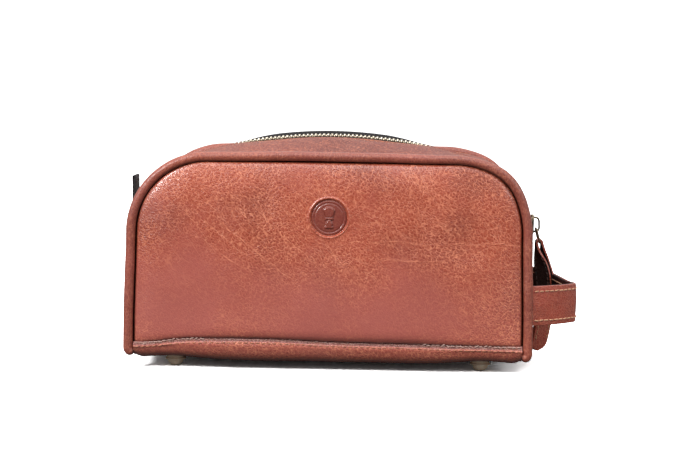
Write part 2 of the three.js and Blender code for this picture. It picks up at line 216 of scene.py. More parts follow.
def drawnOut(s, place, slant, stretch):
    # a place turned about Y and then squeezed, so that a pattern on it is drawn out along the slant
    return s.mapped(s.mapped(place, turn=(0, math.radians(slant), 0)), (1, 1, stretch))


grain = {  # shares of colour and height that every leather here has in common
    "pebbleStretch": 0.58, "poreStretch": 0.7, "poreScale": 1.7, "wrinkleStretch": 0.3, "longStretch": 0.16,
    "netWidth": 0.17, "poreWidth": 0.16, "poreNet": 0.3, "wrinkleNet": 0.75, "hollowShare": 0.72,
    # the painted sheen low on the leather is full below 30 mm and gone above 78 mm
    "paintedSheenFull": 30 * mm, "paintedSheenGone": 78 * mm, "pressedFlat": 0.8, "stampShare": 0.72,
    "pebbleHeight": 0.6, "poreHeight": 0.15, "foldHeight": 0.5, "fineHeight": 0.12, "coatBump": 0.45,
}


def leatherMaterial(name, look):
    s = Shader(name)
    place = s.objectPlace()
    bent = warped(s, warped(s, place, 45, 0.007), 420, 0.0012)
    # pebbles, smaller pores between them, and wrinkles drawn out on a slant
    slant = look["slant"]
    pebble = s.cellEdges(drawnOut(s, bent, slant, grain["pebbleStretch"]), look["pebble"])
    pore = s.cellEdges(drawnOut(s, bent, -slant, grain["poreStretch"]), look["pebble"] * grain["poreScale"])
    long = wrinkleLines(s, drawnOut(s, bent, slant, grain["wrinkleStretch"]), look["wrinkle"], 0.02)
    longer = wrinkleLines(s, drawnOut(s, bent, slant - 9, grain["longStretch"]), look["wrinkle"] * 0.7, 0.01)
    # where the grain and the wrinkles are strong, and where the leather is calm
    grainArea = s.grey(s.noise(place, 30, 3, 0.6), 0.34, 0.6, 0.55, 1.0)
    turned = s.mapped(place, (1.0, 1.0, 1.3), (0.1, 0.4, 0.2))
    wrinkleArea = s.grey(s.noise(turned, 34, 3, 0.6), 0.42, 0.62, 0.1, 1.0)
    for x, z, reach, keep in look["smooth"]:
        away = s.vector("DISTANCE", s.mapped(place, (1, 0, 1.25)), (midX + x * mm, 0, z * 1.25 * mm), 1)
        sway = s.math("MULTIPLY", s.math("SUBTRACT", s.noise(place, 40, 3), 0.5), 0.03)
        calm = s.grey(s.math("ADD", away, sway), reach * 0.5 * mm, reach * 1.1 * mm, keep, 1.0)
        grainArea = s.math("MULTIPLY", grainArea, calm)
        wrinkleArea = s.math("MULTIPLY", wrinkleArea, calm)
    # pale lines: the net round the pebbles and pores, the folds and the long creases
    broken = s.grey(s.noise(place, 600, 2, 0.5), 0.38, 0.6, 0.25, 1.0)
    net = s.math("MULTIPLY", s.grey(pebble, 0.0, grain["netWidth"], 1.0, 0.0), broken)
    poreNet = s.math("MULTIPLY", s.grey(pore, 0.0, grain["poreWidth"], 1.0, 0.0), grain["poreNet"])
    net = s.math("MULTIPLY", s.math("MAXIMUM", net, poreNet), grainArea)
    folds = s.math("MAXIMUM", s.math("MULTIPLY", long, grain["wrinkleNet"]), longer)
    folds = s.math("MULTIPLY", folds, wrinkleArea)
    lines = s.math("MAXIMUM", net, folds)
    for start, end, width, wobble in look["creases"]:
        lines = s.math("MAXIMUM", lines, creaseAt(s, place, start, end, width, wobble))
    # colour
    patches = s.noise(place, 22, 3, 0.5)
    tint = s.noise(place, 60, 4, 0.6)
    body = s.ramp(patches, [(0.2, look["deep"]), (0.5, look["main"]), (0.7, look["warm"])])
    body = s.mix(s.grey(tint, 0.4, 0.7, 0.0, 0.35), body, look["cool"])
    # painted sheen: calm, smooth patches take a pinkish-grey tint that stands for a reflection
    body = s.mix(s.grey(grainArea, 0.1, 0.75, 0.6, 0.0), body, look["paintedSheenTint"])
    upright = s.add("ShaderNodeSeparateXYZ", Vector=place).outputs[2]
    # painted sheen: low down the leather turns towards the same tint, a painted reflection of the pale floor that
    # fades out higher up
    body = s.mix(s.grey(upright, grain["paintedSheenFull"], grain["paintedSheenGone"], look["paintedLowSheen"], 0.0), body, look["paintedSheenTint"])
    body = s.mix(s.math("MULTIPLY", lines, look["lineShare"]), body, look["line"])
    hollow = s.math("MULTIPLY", s.grey(pore, 0.25, 0.5), grainArea)
    body = s.mix(s.math("MULTIPLY", hollow, grain["hollowShare"]), body, look["deep"])
    stamped = s.attribute("stamped")
    body = s.mix(s.math("MULTIPLY", stamped, grain["stampShare"]), body, look["stamp"])
    # painted shade: the near-black crevice colour is mixed in where the crevice mark is set, beside the piping,
    # above the lap and low on the base
    body = s.mix(s.attribute("paintedCreviceShade"), body, look["paintedCreviceShade"])
    # height: the stamp presses the grain flat
    pressed = s.math("SUBTRACT", 1.0, s.math("MULTIPLY", stamped, grain["pressedFlat"]))
    swell = s.math("MULTIPLY", s.math("MULTIPLY", grainArea, pressed), grain["pebbleHeight"])
    height = s.math("MULTIPLY", s.grey(pebble, 0.0, 0.32), swell)
    poreLines = s.grey(pore, 0.0, 0.2, 1.0, 0.0)
    height = s.math("SUBTRACT", height, s.math("MULTIPLY", poreLines, grain["poreHeight"]))
    height = s.math("SUBTRACT", height, s.math("MULTIPLY", folds, grain["foldHeight"]))
    height = s.math("ADD", height, s.math("MULTIPLY", s.noise(place, 1900, 2, 0.6), grain["fineHeight"]))
    normal = s.bump(height, look["depth"], look["bump"])
    polished = s.bump(height, look["depth"], look["bump"] * grain["coatBump"])
    roughness = s.grey(s.noise(place, 90, 4, 0.6), 0.3, 0.7, look["rough"] - 0.05, look["rough"] + 0.07)
    return s.finish(
        BaseColor=body, Roughness=roughness, Normal=normal, SpecularIORLevel=look["specular"],
        CoatWeight=look["coat"], CoatRoughness=look["coatRough"], CoatNormal=polished,
    )


def shade(r, g, b):
    # sRGB 0-255 to linear
    return tuple(((v / 255 + 0.055) / 1.055) ** 2.4 if v > 10 else v / 255 / 12.92 for v in (r, g, b))


bagLook = {
    # in the looks below, the low sheen share (0.5 here) and the pinkish-grey sheen tint are painted reflection
    "pebble": 720, "wrinkle": 170, "slant": 48, "depth": 0.0004, "bump": 0.62, "rough": 0.36, "paintedLowSheen": 0.5,
    "specular": 0.5, "coat": 0.85, "coatRough": 0.17, "lineShare": 0.85,
    "main": shade(160, 60, 35), "warm": shade(170, 66, 37), "deep": shade(104, 32, 22),
    "cool": shade(158, 66, 50),
    "paintedSheenTint": shade(180, 98, 90), "line": shade(246, 154, 118), "smooth": [], "creases": [],
    # the crevice colour is painted shade for grooves, seams and the underside, not a dye of the leather
    "stamp": shade(104, 36, 30), "paintedCreviceShade": shade(38, 10, 5),
}
panelLook = {
    **bagLook,
    "smooth": [(-80, 44, 44, 0.3), (-24, 34, 36, 0.4), (45, 32, 44, 0.35), (10, 18, 46, 0.5)],
    "creases": [((-66, 89), (-19, 52), 0.5 * mm, 0.006), ((-63, 69), (-48, 59), 0.5 * mm, 0.003),
                ((-40, 92), (-8, 62), 0.4 * mm, 0.006), ((6, 74), (104, 74.5), 0.55 * mm, 0.009),
                ((28, 65), (78, 63), 0.45 * mm, 0.006)],
}
pipingLook = {
    **bagLook, "slant": 10, "rough": 0.46, "paintedLowSheen": 0.0, "coat": 0.5, "coatRough": 0.28, "lineShare": 0.4,
    "main": shade(140, 62, 48), "warm": shade(152, 70, 52), "deep": shade(108, 42, 34),
    "cool": shade(140, 74, 62),
}
gussetLook = {
    **bagLook, "slant": 80, "bump": 0.8, "rough": 0.5, "paintedLowSheen": 0.0, "specular": 0.3, "coat": 0.12,
    "lineShare": 0.5,
    "main": shade(106, 46, 42), "warm": shade(118, 52, 44), "deep": shade(86, 34, 30),
    "cool": shade(132, 68, 62),
}
strapLook = {
    **bagLook, "slant": 60, "rough": 0.34, "paintedLowSheen": 0.0, "coat": 0.6, "lineShare": 0.4,
    "main": shade(172, 72, 54), "warm": shade(186, 82, 60), "deep": shade(132, 50, 40),
    "cool": shade(122, 58, 48),
}
# near-black leather for faces turned to the bag: the flesh side, its darkness partly painted shade
fleshAndShadeLook = {
    **strapLook, "rough": 0.7, "specular": 0.25, "coat": 0.0, "line": shade(84, 58, 50),
    "main": shade(44, 30, 28), "warm": shade(56, 36, 32), "deep": shade(28, 20, 20), "cool": shade(46, 36, 36),
}


def clothMaterial(name, colour, threads, roughness, depth):
    s = Shader(name)
    uv = s.add("ShaderNodeTexCoord").outputs["UV"]
    split = s.add("ShaderNodeSeparateXYZ", Vector=uv)
    across = s.math("SINE", s.math("MULTIPLY", split.outputs[0], threads * 2 * math.pi))
    along = s.math("SINE", s.math("MULTIPLY", split.outputs[1], threads * 2 * math.pi))
    weave = s.math("MULTIPLY", across, along)
    fuzz = s.noise(s.objectPlace(), 1500, 3)
    colourOut = s.mix(s.grey(weave, -1, 1, 0, 0.6), colour, tuple(min(1, c * 2.2 + 0.004) for c in colour))
    colourOut = s.mix(s.grey(fuzz, 0.4, 0.8, 0, 0.3), colourOut, tuple(c * 0.5 for c in colour))
    height = s.math("ADD", s.math("MULTIPLY", weave, 0.5), s.math("MULTIPLY", fuzz, 0.4))
    normal = s.bump(height, depth, 0.6)
    return s.finish(BaseColor=colourOut, Roughness=roughness, Normal=normal, SheenWeight=0.08)


def metalMaterial(name, bright, dark, roughness, tarnish, metallic=1.0):
    s = Shader(name)
    place = s.objectPlace()
    stain = s.noise(place, 420, 5, 0.65)
    scratch = s.noise(s.mapped(place, (1, 1, 0.08)), 5200, 3, 0.6)
    colour = s.mix(s.grey(stain, 0.42, 0.66, 0, tarnish), bright, dark)
    wear = s.math("ADD", stain, s.math("MULTIPLY", scratch, 0.4))
    rough = s.grey(wear, 0.4, 1.1, roughness, roughness + 0.22)
    return s.finish(BaseColor=colour, Metallic=metallic, Roughness=rough, Normal=s.bump(scratch, 0.00003, 0.25))


def threadMaterial(name, colour):
    s = Shader(name)
    place = s.objectPlace()
    twist = s.noise(place, 3200, 2)
    dirt = s.noise(place, 130, 3)
    body = s.mix(s.grey(twist, 0.35, 0.7), tuple(c * 0.55 for c in colour), colour)
    body = s.mix(s.grey(dirt, 0.45, 0.7, 0, 0.5), body, shade(140, 78, 56))
    return s.finish(BaseColor=body, Roughness=0.75, Normal=s.bump(twist, 0.0001, 0.6), SheenWeight=0.2)


def rawEdgeMaterial():
    # cut leather edge: felted fibres, paler than the face
    s = Shader("raw leather edge")
    place = s.objectPlace()
    fibre = s.noise(place, 1400, 4, 0.7)
    patch = s.noise(place, 120, 3)
    body = s.ramp(fibre, [(0.3, shade(92, 50, 46)), (0.5, shade(148, 96, 90)), (0.72, shade(204, 150, 140))])
    body = s.mix(s.grey(patch, 0.45, 0.7, 0, 0.6), body, shade(150, 88, 66))
    return s.finish(BaseColor=body, Roughness=0.9, Normal=s.bump(fibre, 0.0004, 0.8))


def boardMaterial():
    s = Shader("fibre board")
    fleck = s.noise(s.objectPlace(), 900, 4)
    body = s.ramp(fleck, [(0.3, shade(92, 74, 56)), (0.7, shade(128, 106, 84))])
    return s.finish(BaseColor=body, Roughness=0.9, Normal=s.bump(fleck, 0.0002, 0.4))


skins = {
    "bag": leatherMaterial("bag leather", bagLook),
    "panel": leatherMaterial("panel leather", panelLook),
    "piping": leatherMaterial("piping leather", pipingLook),
    "gusset": leatherMaterial("gusset leather", gussetLook),
    "strap": leatherMaterial("strap leather", strapLook),
    "fleshAndShade": leatherMaterial("near-black flesh side and painted shade", fleshAndShadeLook),
    "lining": clothMaterial("lining cloth", shade(40, 36, 36), 1600, 0.8, 0.0001),
    "tape": clothMaterial("zip tape", shade(26, 23, 25), 1500, 0.85, 0.00016),
    "zip": metalMaterial("antique zip metal", shade(150, 134, 112), shade(58, 48, 40), 0.26, 0.9),
    "teeth": metalMaterial("brushed teeth metal", shade(236, 226, 206), shade(150, 132, 106), 0.3, 0.5),
    "foot": metalMaterial("antique foot metal", shade(255, 234, 206), shade(250, 196, 158), 0.3, 0.4, 0.15),
    "thread": threadMaterial("tan thread", shade(244, 186, 144)),
    "darkThread": threadMaterial("brown thread", shade(206, 130, 98)),
    "fray": threadMaterial("frayed pale thread", shade(226, 186, 174)),
    "blackThread": threadMaterial("black thread", shade(52, 46, 46)),
    "raw": rawEdgeMaterial(),
    "board": boardMaterial(),
}
print("materials made")


# Mesh helpers
def newPiece(name, mesh, *materials):
    piece = bpy.data.objects.new(name, mesh)
    bpy.context.scene.collection.objects.link(piece)
    for material in materials:
        mesh.materials.append(material)
    mesh.polygons.foreach_set("use_smooth", [True] * len(mesh.polygons))
    return piece


def gridFaces(rows, columns, loopRows=False, loopColumns=False):
    faces = []
    for r in range(rows if loopRows else rows - 1):
        for c in range(columns if loopColumns else columns - 1):
            nextR, nextC = (r + 1) % rows, (c + 1) % columns
            faces.append((r * columns + c, r * columns + nextC, nextR * columns + nextC, nextR * columns + c))
    return faces


def cappedFaces(rows, sides):
    # a closed round shape: its rings joined up, and one face over each end
    caps = [tuple(range(sides))[::-1], tuple(range((rows - 1) * sides, rows * sides))]
    return gridFaces(rows, sides, loopColumns=True) + caps


def sheetPiece(name, grid, *materials, middle=bagMiddle, slots=None):
    # an open sheet from a grid of points, faces turned away from middle, its lengths in metres as its UV map
    grid = np.asarray(grid, float)
    rows, columns, _ = grid.shape
    faces = gridFaces(rows, columns)
    flat = grid.reshape(-1, 3)
    corners = flat[np.array(faces)]
    normals = np.cross(corners[:, 1] - corners[:, 0], corners[:, 3] - corners[:, 0])
    outward = np.einsum("ij,ij->i", normals, corners.mean(axis=1) - np.array(middle)).sum()
    if outward < 0:
        faces = [face[::-1] for face in faces]
    mesh = bpy.data.meshes.new(name)
    mesh.from_pydata(flat.tolist(), [], faces)
    along = np.concatenate([[0], np.cumsum(np.linalg.norm(np.diff(grid[:, columns // 2], axis=0), axis=1))])
    across = np.concatenate([[0], np.cumsum(np.linalg.norm(np.diff(grid[rows // 2], axis=0), axis=1))])
    lengths = np.stack(np.broadcast_arrays(along[:, None], across[None, :]), axis=2).reshape(-1, 2)
    uv = mesh.uv_layers.new(name="lengths")
    index = np.empty(len(mesh.loops), int)
    mesh.loops.foreach_get("vertex_index", index)
    uv.data.foreach_set("uv", lengths[index].ravel())
    piece = newPiece(name, mesh, *materials)
    if slots is not None:
        mesh.polygons.foreach_set("material_index", np.asarray(slots, int))
    return piece


def softenEdges(piece, width, segments, sharpness):
    # round every edge that turns by more than sharpness degrees
    edge = piece.modifiers.new("soft edges", "BEVEL")
    edge.width = width
    edge.segments = segments
    edge.limit_method = "ANGLE"
    edge.angle_limit = math.radians(sharpness)


def thicken(piece, thickness, rim=0, segments=2):
    # give a sheet its wall, and a rounded cut edge where rim says so
    wall = piece.modifiers.new("wall", "SOLIDIFY")
    wall.thickness = thickness
    wall.offset = -1
    if rim:
        softenEdges(piece, rim, segments, 50)
    return applied(piece)


def mark(piece, name, values):
    # a number on every vertex that the materials read by its name
    attribute = piece.data.attributes.new(name, "FLOAT", "POINT")
    attribute.data.foreach_set("value", np.asarray(values, float).ravel())


def applied(piece):
    # replace a piece's mesh with the result of its modifiers
    graph = bpy.context.evaluated_depsgraph_get()
    graph.update()
    finished = piece.evaluated_get(graph)
    mesh = bpy.data.meshes.new_from_object(finished, preserve_all_data_layers=True, depsgraph=graph)
    piece.modifiers.clear()
    piece.data = mesh
    return piece


def faceOut(piece):
    # merge doubles and turn every face of a closed shape outwards
    body = bmesh.new()
    body.from_mesh(piece.data)
    bmesh.ops.remove_doubles(body, verts=body.verts, dist=1e-6)
    bmesh.ops.recalc_face_normals(body, faces=body.faces)
    body.to_mesh(piece.data)
    body.free()
    piece.data.polygons.foreach_set("use_smooth", [True] * len(piece.data.polygons))
    return piece


def tubePiece(name, path, radius, material, sides, closed=False, upHint=(0, 1, 0)):
    # a round rod along a path, with domed ends when it is open; radius is one number or one for each point
    path = np.asarray(path, float)
    count = len(path)
    ahead = np.roll(path, -1, axis=0) - np.roll(path, 1, axis=0)
    if not closed:
        ahead[0], ahead[-1] = path[1] - path[0], path[-1] - path[-2]
    ahead /= np.linalg.norm(ahead, axis=1)[:, None]
    up = np.asarray(upHint, float)[None, :] - (ahead @ np.asarray(upHint, float))[:, None] * ahead
    up /= np.linalg.norm(up, axis=1)[:, None]
    side = np.cross(ahead, up)
    angles = np.linspace(0, 2 * math.pi, sides, endpoint=False)
    ring = up[:, None, :] * np.cos(angles)[None, :, None] + side[:, None, :] * np.sin(angles)[None, :, None]
    size = np.broadcast_to(radius, count)
    grid = path[:, None, :] + ring * size[:, None, None]
    vertices = grid.reshape(-1, 3).tolist()
    faces = gridFaces(count, sides, loopRows=closed, loopColumns=True)
    if not closed:
        for end, row, way in ((0, 0, -1), (1, count - 1, 1)):
            previous = row * sides
            for lift, share in ((0.45, 0.88), (0.8, 0.55)):
                first = len(vertices)
                centre = path[row] + way * ahead[row] * size[row] * lift
                vertices += (centre + ring[row] * size[row] * share).tolist()
                for k in range(sides):
                    nextK = (k + 1) % sides
                    faces.append((previous + k, previous + nextK, first + nextK, first + k))
                previous = first
            vertices.append((path[row] + way * ahead[row] * size[row]).tolist())
            tip = len(vertices) - 1
            faces += [(previous + k, previous + (k + 1) % sides, tip) for k in range(sides)]
    mesh = bpy.data.meshes.new(name)
    mesh.from_pydata(vertices, [], faces)
    return faceOut(newPiece(name, mesh, material))


def ripple(points, scale, height, seed):
    # smooth random heights for an array of points, the same on every run
    flat = np.asarray(points).reshape(-1, 3)
    values = [noise.noise(Vector(p) * scale + Vector((seed, seed * 1.7, -seed))) for p in flat]
    return np.array(values).reshape(np.asarray(points).shape[:-1]) * height


def smooth(low, high, value):
    # 0 at low, 1 at high, with a soft start and end
    t = np.clip((np.asarray(value, float) - low) / (high - low), 0, 1)
    return t * t * (3 - 2 * t)


def softStep(distance, width):
    # 1 inside, 0 outside, over a band of the given width
    return smooth(width / 2, -width / 2, distance)


def prefixOf(side):
    return "front" if side < 0 else "back"


# The bag's outline
def archOutline(half, top, radius, legZ, steps):
    # upright leg, corner arc, long top arc, corner arc, leg: places and outward normals in the X-Z plane
    legSteps, cornerSteps, topSteps = steps
    rise, inset = top - hingeZ, half - radius
    topRadius = (inset**2 + rise**2 - radius**2) / (2 * (rise - radius))
    lean = math.atan2(inset, topRadius - rise)
    leg = np.linspace(legZ, hingeZ, legSteps, endpoint=False)
    corner = np.linspace(0, math.pi / 2 - lean, cornerSteps, endpoint=False)
    crownAngles = np.linspace(math.pi / 2 - lean, math.pi / 2, topSteps // 2 + 1)
    crownX, crownZ = topRadius * np.cos(crownAngles), top - topRadius + topRadius * np.sin(crownAngles)
    x = np.concatenate([np.full(len(leg), half), inset + radius * np.cos(corner), crownX])
    z = np.concatenate([leg, hingeZ + radius * np.sin(corner), crownZ])
    angle = np.concatenate([np.zeros(len(leg)), corner, crownAngles])
    x, z, angle = [np.concatenate([v, w[::-1][1:]]) for v, w in ((x, -x), (z, z), (angle, math.pi - angle))]
    return x + midX, z, np.cos(angle), np.sin(angle)


def pipingOutline(legZ, steps):
    return archOutline(bag["pipingHalf"], bag["pipingTop"], bag["pipingCorner"], legZ, steps)


def ridgeOutline(legZ, steps):
    return archOutline(bag["ridgeHalf"], bag["ridgeTop"], bag["ridgeCorner"], legZ, steps)


gussetEdgeY = bag["pipingY"] - 2.0 * mm
crown = {
    "lowZ": 125.5 * mm, "highZ": 131.5 * mm, "sink": 1.9 * mm,
    "nearY": (-24 * mm, -7 * mm), "farY": (3.0 * mm, 1.6 * mm),
}


def zipStep(points):
    # at the crown the near edge of the closure has sunk and the far tape stands up behind the teeth
    y, z = points[..., 1], points[..., 2]
    sunk = -crown["sink"] * smooth(*crown["nearY"], y) * smooth(*crown["farY"], y)
    return smooth(crown["lowZ"], crown["highZ"], z) * sunk


def crownShare(y):
    return 1 - (np.clip(np.abs(y) / gussetEdgeY, 0, 1)) ** 1.7


def gussetGrid(yValues, lifts, legZ, steps):
    # points over the arch: rows follow the arch, columns run from the given y values
    edgeX, edgeZ, _, _ = pipingOutline(legZ, steps)
    ridgeX, ridgeZ, normalX, normalZ = ridgeOutline(legZ, steps)
    y = np.asarray(yValues, float)
    share = crownShare(y)[None, :]
    lift = np.broadcast_to(np.asarray(lifts, float), y.shape)[None, :]
    x = edgeX[:, None] + (ridgeX - edgeX)[:, None] * share + normalX[:, None] * lift
    z = edgeZ[:, None] + (ridgeZ - edgeZ)[:, None] * share + normalZ[:, None] * lift
    grid = np.stack([x, np.broadcast_to(y[None, :], x.shape), z], axis=2)
    grid[..., 2] += zipStep(grid)
    return grid


spread = {  # the spread at the base, and the shoulder's size, place and reach
    "base": 1.4 * mm, "baseFrom": 84 * mm, "baseTo": 22 * mm, "half": 112 * mm,
    "shoulder": 2.6 * mm, "shoulderX": 101 * mm, "shoulderZ": 113 * mm, "reach": 20 * mm, "share": 0.7,
}


def settle(piece):
    # the stuffed bag spreads a little towards its base, and its strap-end shoulder stands squarer
    flat = np.empty(len(piece.data.vertices) * 3)
    piece.data.vertices.foreach_get("co", flat)
    place = flat.reshape(-1, 3)
    u, z = place[:, 0] - midX, place[:, 2].copy()
    aside, above = (u - spread["shoulderX"]) / spread["reach"], (z - spread["shoulderZ"]) / spread["reach"]
    shoulder = spread["share"] * (spread["shoulder"] * np.exp(-(aside**2) - above**2))
    low = smooth(spread["baseFrom"], spread["baseTo"], z)
    place[:, 0] += spread["base"] * low * u / spread["half"] + shoulder
    place[:, 2] += shoulder
    piece.data.vertices.foreach_set("co", place.ravel())
    piece.data.update()


def bendWith(piece):
    # settle the piece and bake its transform into its mesh
    settle(piece)
    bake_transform(piece)


# Camera and light
view = {
    "lens": 85.0, "distance": 0.948, "height": 0.170, "pitch": 5.559, "roll": 0.808, "yaw": 1.516,
    "shift": 0.01213,
}


def addCamera():
    data = bpy.data.cameras.new("camera")
    data.lens = view["lens"]
    data.sensor_width = 36
    data.shift_x = view["shift"]
    data.clip_end = 20
    camera = bpy.data.objects.new("camera", data)
    yaw, pitch, roll = [math.radians(view[key]) for key in ("yaw", "pitch", "roll")]
    level = Vector((-math.sin(yaw), math.cos(yaw), 0))
    forward = level * math.cos(pitch) - Vector((0, 0, math.sin(pitch)))
    right = Vector((math.cos(yaw), math.sin(yaw), 0))
    up = right.cross(forward)
    tiltedRight = right * math.cos(roll) + up * math.sin(roll)
    tiltedUp = up * math.cos(roll) - right * math.sin(roll)
    matrix = Matrix((tiltedRight, tiltedUp, -forward)).transposed().to_4x4()
    matrix.translation = Vector((midX, 0, view["height"])) - level * view["distance"]
    camera.matrix_world = matrix
    bpy.context.scene.collection.objects.link(camera)
    bpy.context.scene.camera = camera


studio = {
    "ahead": 0.66, "behind": 0.32, "above": 0.15, "seen": 1.05, "floorSeen": 2.5, "floorBounce": 0.1,
    "floorHalf": 6.0, "aim": (0, 0, 0.07),
    "lamps": {
        "key": {"place": (-0.86, -0.88, 0.74), "size": (0.28, 0.28), "power": 13},
        "front": {"place": (0.1, -1.0, 1.25), "size": (1.5, 0.6), "power": 9},
        "top": {"place": (0.0, 0.25, 1.6), "size": (2.4, 2.0), "power": 14},
        "fill": {"place": (1.0, -0.75, 0.6), "size": (0.5, 0.5), "power": 3},
    },
}


def addStudio():
    # the floor looks white but sends little light back up under the bag
    floorShader = Shader("pale floor")
    tone = floorShader.grey(floorShader.noise(floorShader.objectPlace(), 3, 2), 0.3, 0.7, 0.97, 1.0)
    seen = floorShader.add("ShaderNodeLightPath").outputs["Is Camera Ray"]
    level = floorShader.grey(seen, 0.0, 1.0, studio["floorBounce"], studio["floorSeen"])
    diffuse = floorShader.add("ShaderNodeBsdfDiffuse", Color=floorShader.math("MULTIPLY", tone, level))
    floorShader.tree.links.new(diffuse.outputs[0], floorShader.output.inputs[0])
    mesh = bpy.data.meshes.new("floor")
    size = studio["floorHalf"]
    corners = [(-size, -size, 0), (size, -size, 0), (size, size, 0), (-size, size, 0)]
    mesh.from_pydata(corners, [], [(0, 1, 2, 3)])
    newPiece("floor", mesh, floorShader.material)
    # a white sweep all round for the eye, with a brighter far side and a darker near side as light
    world = bpy.data.worlds.new("studio")
    world.use_nodes = True
    nodes, links = world.node_tree.nodes, world.node_tree.links
    direction = nodes.new("ShaderNodeSeparateXYZ")
    links.new(nodes.new("ShaderNodeTexCoord").outputs["Generated"], direction.inputs[0])
    depth, height = nodes.new("ShaderNodeMapRange"), nodes.new("ShaderNodeMapRange")
    for node, output, values in (
        (depth, "Y", (-0.5, 0.6, studio["behind"], studio["ahead"])),
        (height, "Z", (0.1, 0.9, 0.0, studio["above"])),
    ):
        links.new(direction.outputs[output], node.inputs[0])
        for index, value in enumerate(values):
            node.inputs[index + 1].default_value = value
    total, pick = nodes.new("ShaderNodeMath"), nodes.new("ShaderNodeMix")
    links.new(depth.outputs[0], total.inputs[0])
    links.new(height.outputs[0], total.inputs[1])
    links.new(nodes.new("ShaderNodeLightPath").outputs["Is Camera Ray"], pick.inputs["Factor"])
    links.new(total.outputs[0], pick.inputs["A"])
    pick.inputs["B"].default_value = studio["seen"]
    links.new(pick.outputs["Result"], nodes["Background"].inputs["Strength"])
    nodes["Background"].inputs["Color"].default_value = (1, 1, 1, 1)
    bpy.context.scene.world = world
    for name, lamp in studio["lamps"].items():
        data = bpy.data.lights.new(name, "AREA")
        data.shape = "RECTANGLE"
        data.energy = lamp["power"]
        data.size, data.size_y = lamp["size"]
        light = bpy.data.objects.new(name, data)
        light.location = lamp["place"]
        aim = Vector(studio["aim"]) - Vector(lamp["place"])
        light.rotation_euler = aim.to_track_quat("-Z", "Y").to_euler()
        bpy.context.scene.collection.objects.link(light)


bpy.context.scene.view_settings.view_transform = "Standard"
addCamera()
addStudio()


# Front and back panels
lap = {  # waves of the raw edge as height, place and width in millimetres, and its drop at the left end
    "front": [(2.3, -45, 58), (0.5, 40, 25)], "back": [(1.2, 30, 60)], "leftDrop": 1.8, "dropEnd": (-104, -78),
    "above": 0.8 * mm,
}


def flapTop(x, side):
    # the lap's raw edge wanders a little along the seam
    u = (x - midX) / mm
    wave = sum(height * np.exp(-(((u - place) / width) ** 2)) for height, place, width in lap[prefixOf(side)])
    wave = wave - lap["leftDrop"] * (1 - smooth(*lap["dropEnd"], u))
    points = np.stack([x, x * 0, x * 0], axis=-1)
    return bag["flapZ"] + lap["above"] + wave * mm + ripple(points, 300, 0.25 * mm, 5 + side)


panel = {
    "edgeY": bag["pipingY"] + 0.2 * mm, "bulge": 4.6 * mm, "rollOff": 22 * mm, "overlap": 0.8 * mm,
    "thickness": 1.7 * mm, "coarse": 1.9 * mm, "fine": 0.3 * mm, "groove": 2.2 * mm, "grooveWidth": 0.9 * mm,
    "bottomRoll": 5 * mm, "medallionX": midX + 0.2 * mm, "medallionZ": 88 * mm, "medallionRadius": 10.4 * mm,
    "edgeLines": np.array([0.35, 0.7, 1.05, 1.4, 1.9, 2.5, 3.2]) * mm, "edgeBand": 4.4 * mm, "lowBand": 9 * mm,
}


def edgeDistance(x, z):
    # how far a point of the panel is inside its arched edge
    half = bag["pipingHalf"] - bag["pipingRadius"]
    top = bag["pipingTop"] - bag["pipingRadius"]
    radius = bag["pipingCorner"] - bag["pipingRadius"]
    across = np.abs(x - midX)
    straight = np.minimum(half - across, top - z)
    inCorner = (across > half - radius) & (z > top - radius)
    corner = radius - np.hypot(across - (half - radius), z - (top - radius))
    return np.where(inCorner, np.minimum(corner, straight), straight)


def panelFace(x, z, side):
    # distance of the face from the bag's middle plane: a filled cushion with slow undulations
    seed = 3.0 if side < 0 else 11.0
    inside = np.clip(edgeDistance(x, z), 0, None)
    roll = 1 - (1 - np.clip(inside / panel["rollOff"], 0, 1)) ** 2.6
    aboveLap = np.clip((z - flapTop(x, side) + 0.6 * mm) / panel["bottomRoll"], 0, 1)
    roll = roll * np.sqrt(np.clip(1 - (1 - aboveLap) ** 2, 0, 1))
    broad = 1 - ((x - midX) / bag["pipingHalf"]) ** 2 * 0.35 - ((z - 66 * mm) / (70 * mm)) ** 2 * 0.22
    points = np.stack([x, np.full_like(x, 0.0), z], axis=-1)
    slow = ripple(points, 16, 1.0 * mm, seed) + ripple(points, 42, 0.45 * mm, seed + 4)
    slanted = points @ np.array([[0.8, 0, 0.6], [0, 1, 0], [-0.25, 0, 0.35]])
    folds = ripple(slanted, 120, 0.14 * mm, seed + 9)
    calm = np.clip(inside / (12 * mm), 0, 1) * np.clip(aboveLap, 0, 1)
    groove = panel["groove"] * np.exp(-((inside / panel["grooveWidth"]) ** 1.6))
    return panel["edgeY"] + panel["bulge"] * roll * broad + (slow + folds) * calm - groove


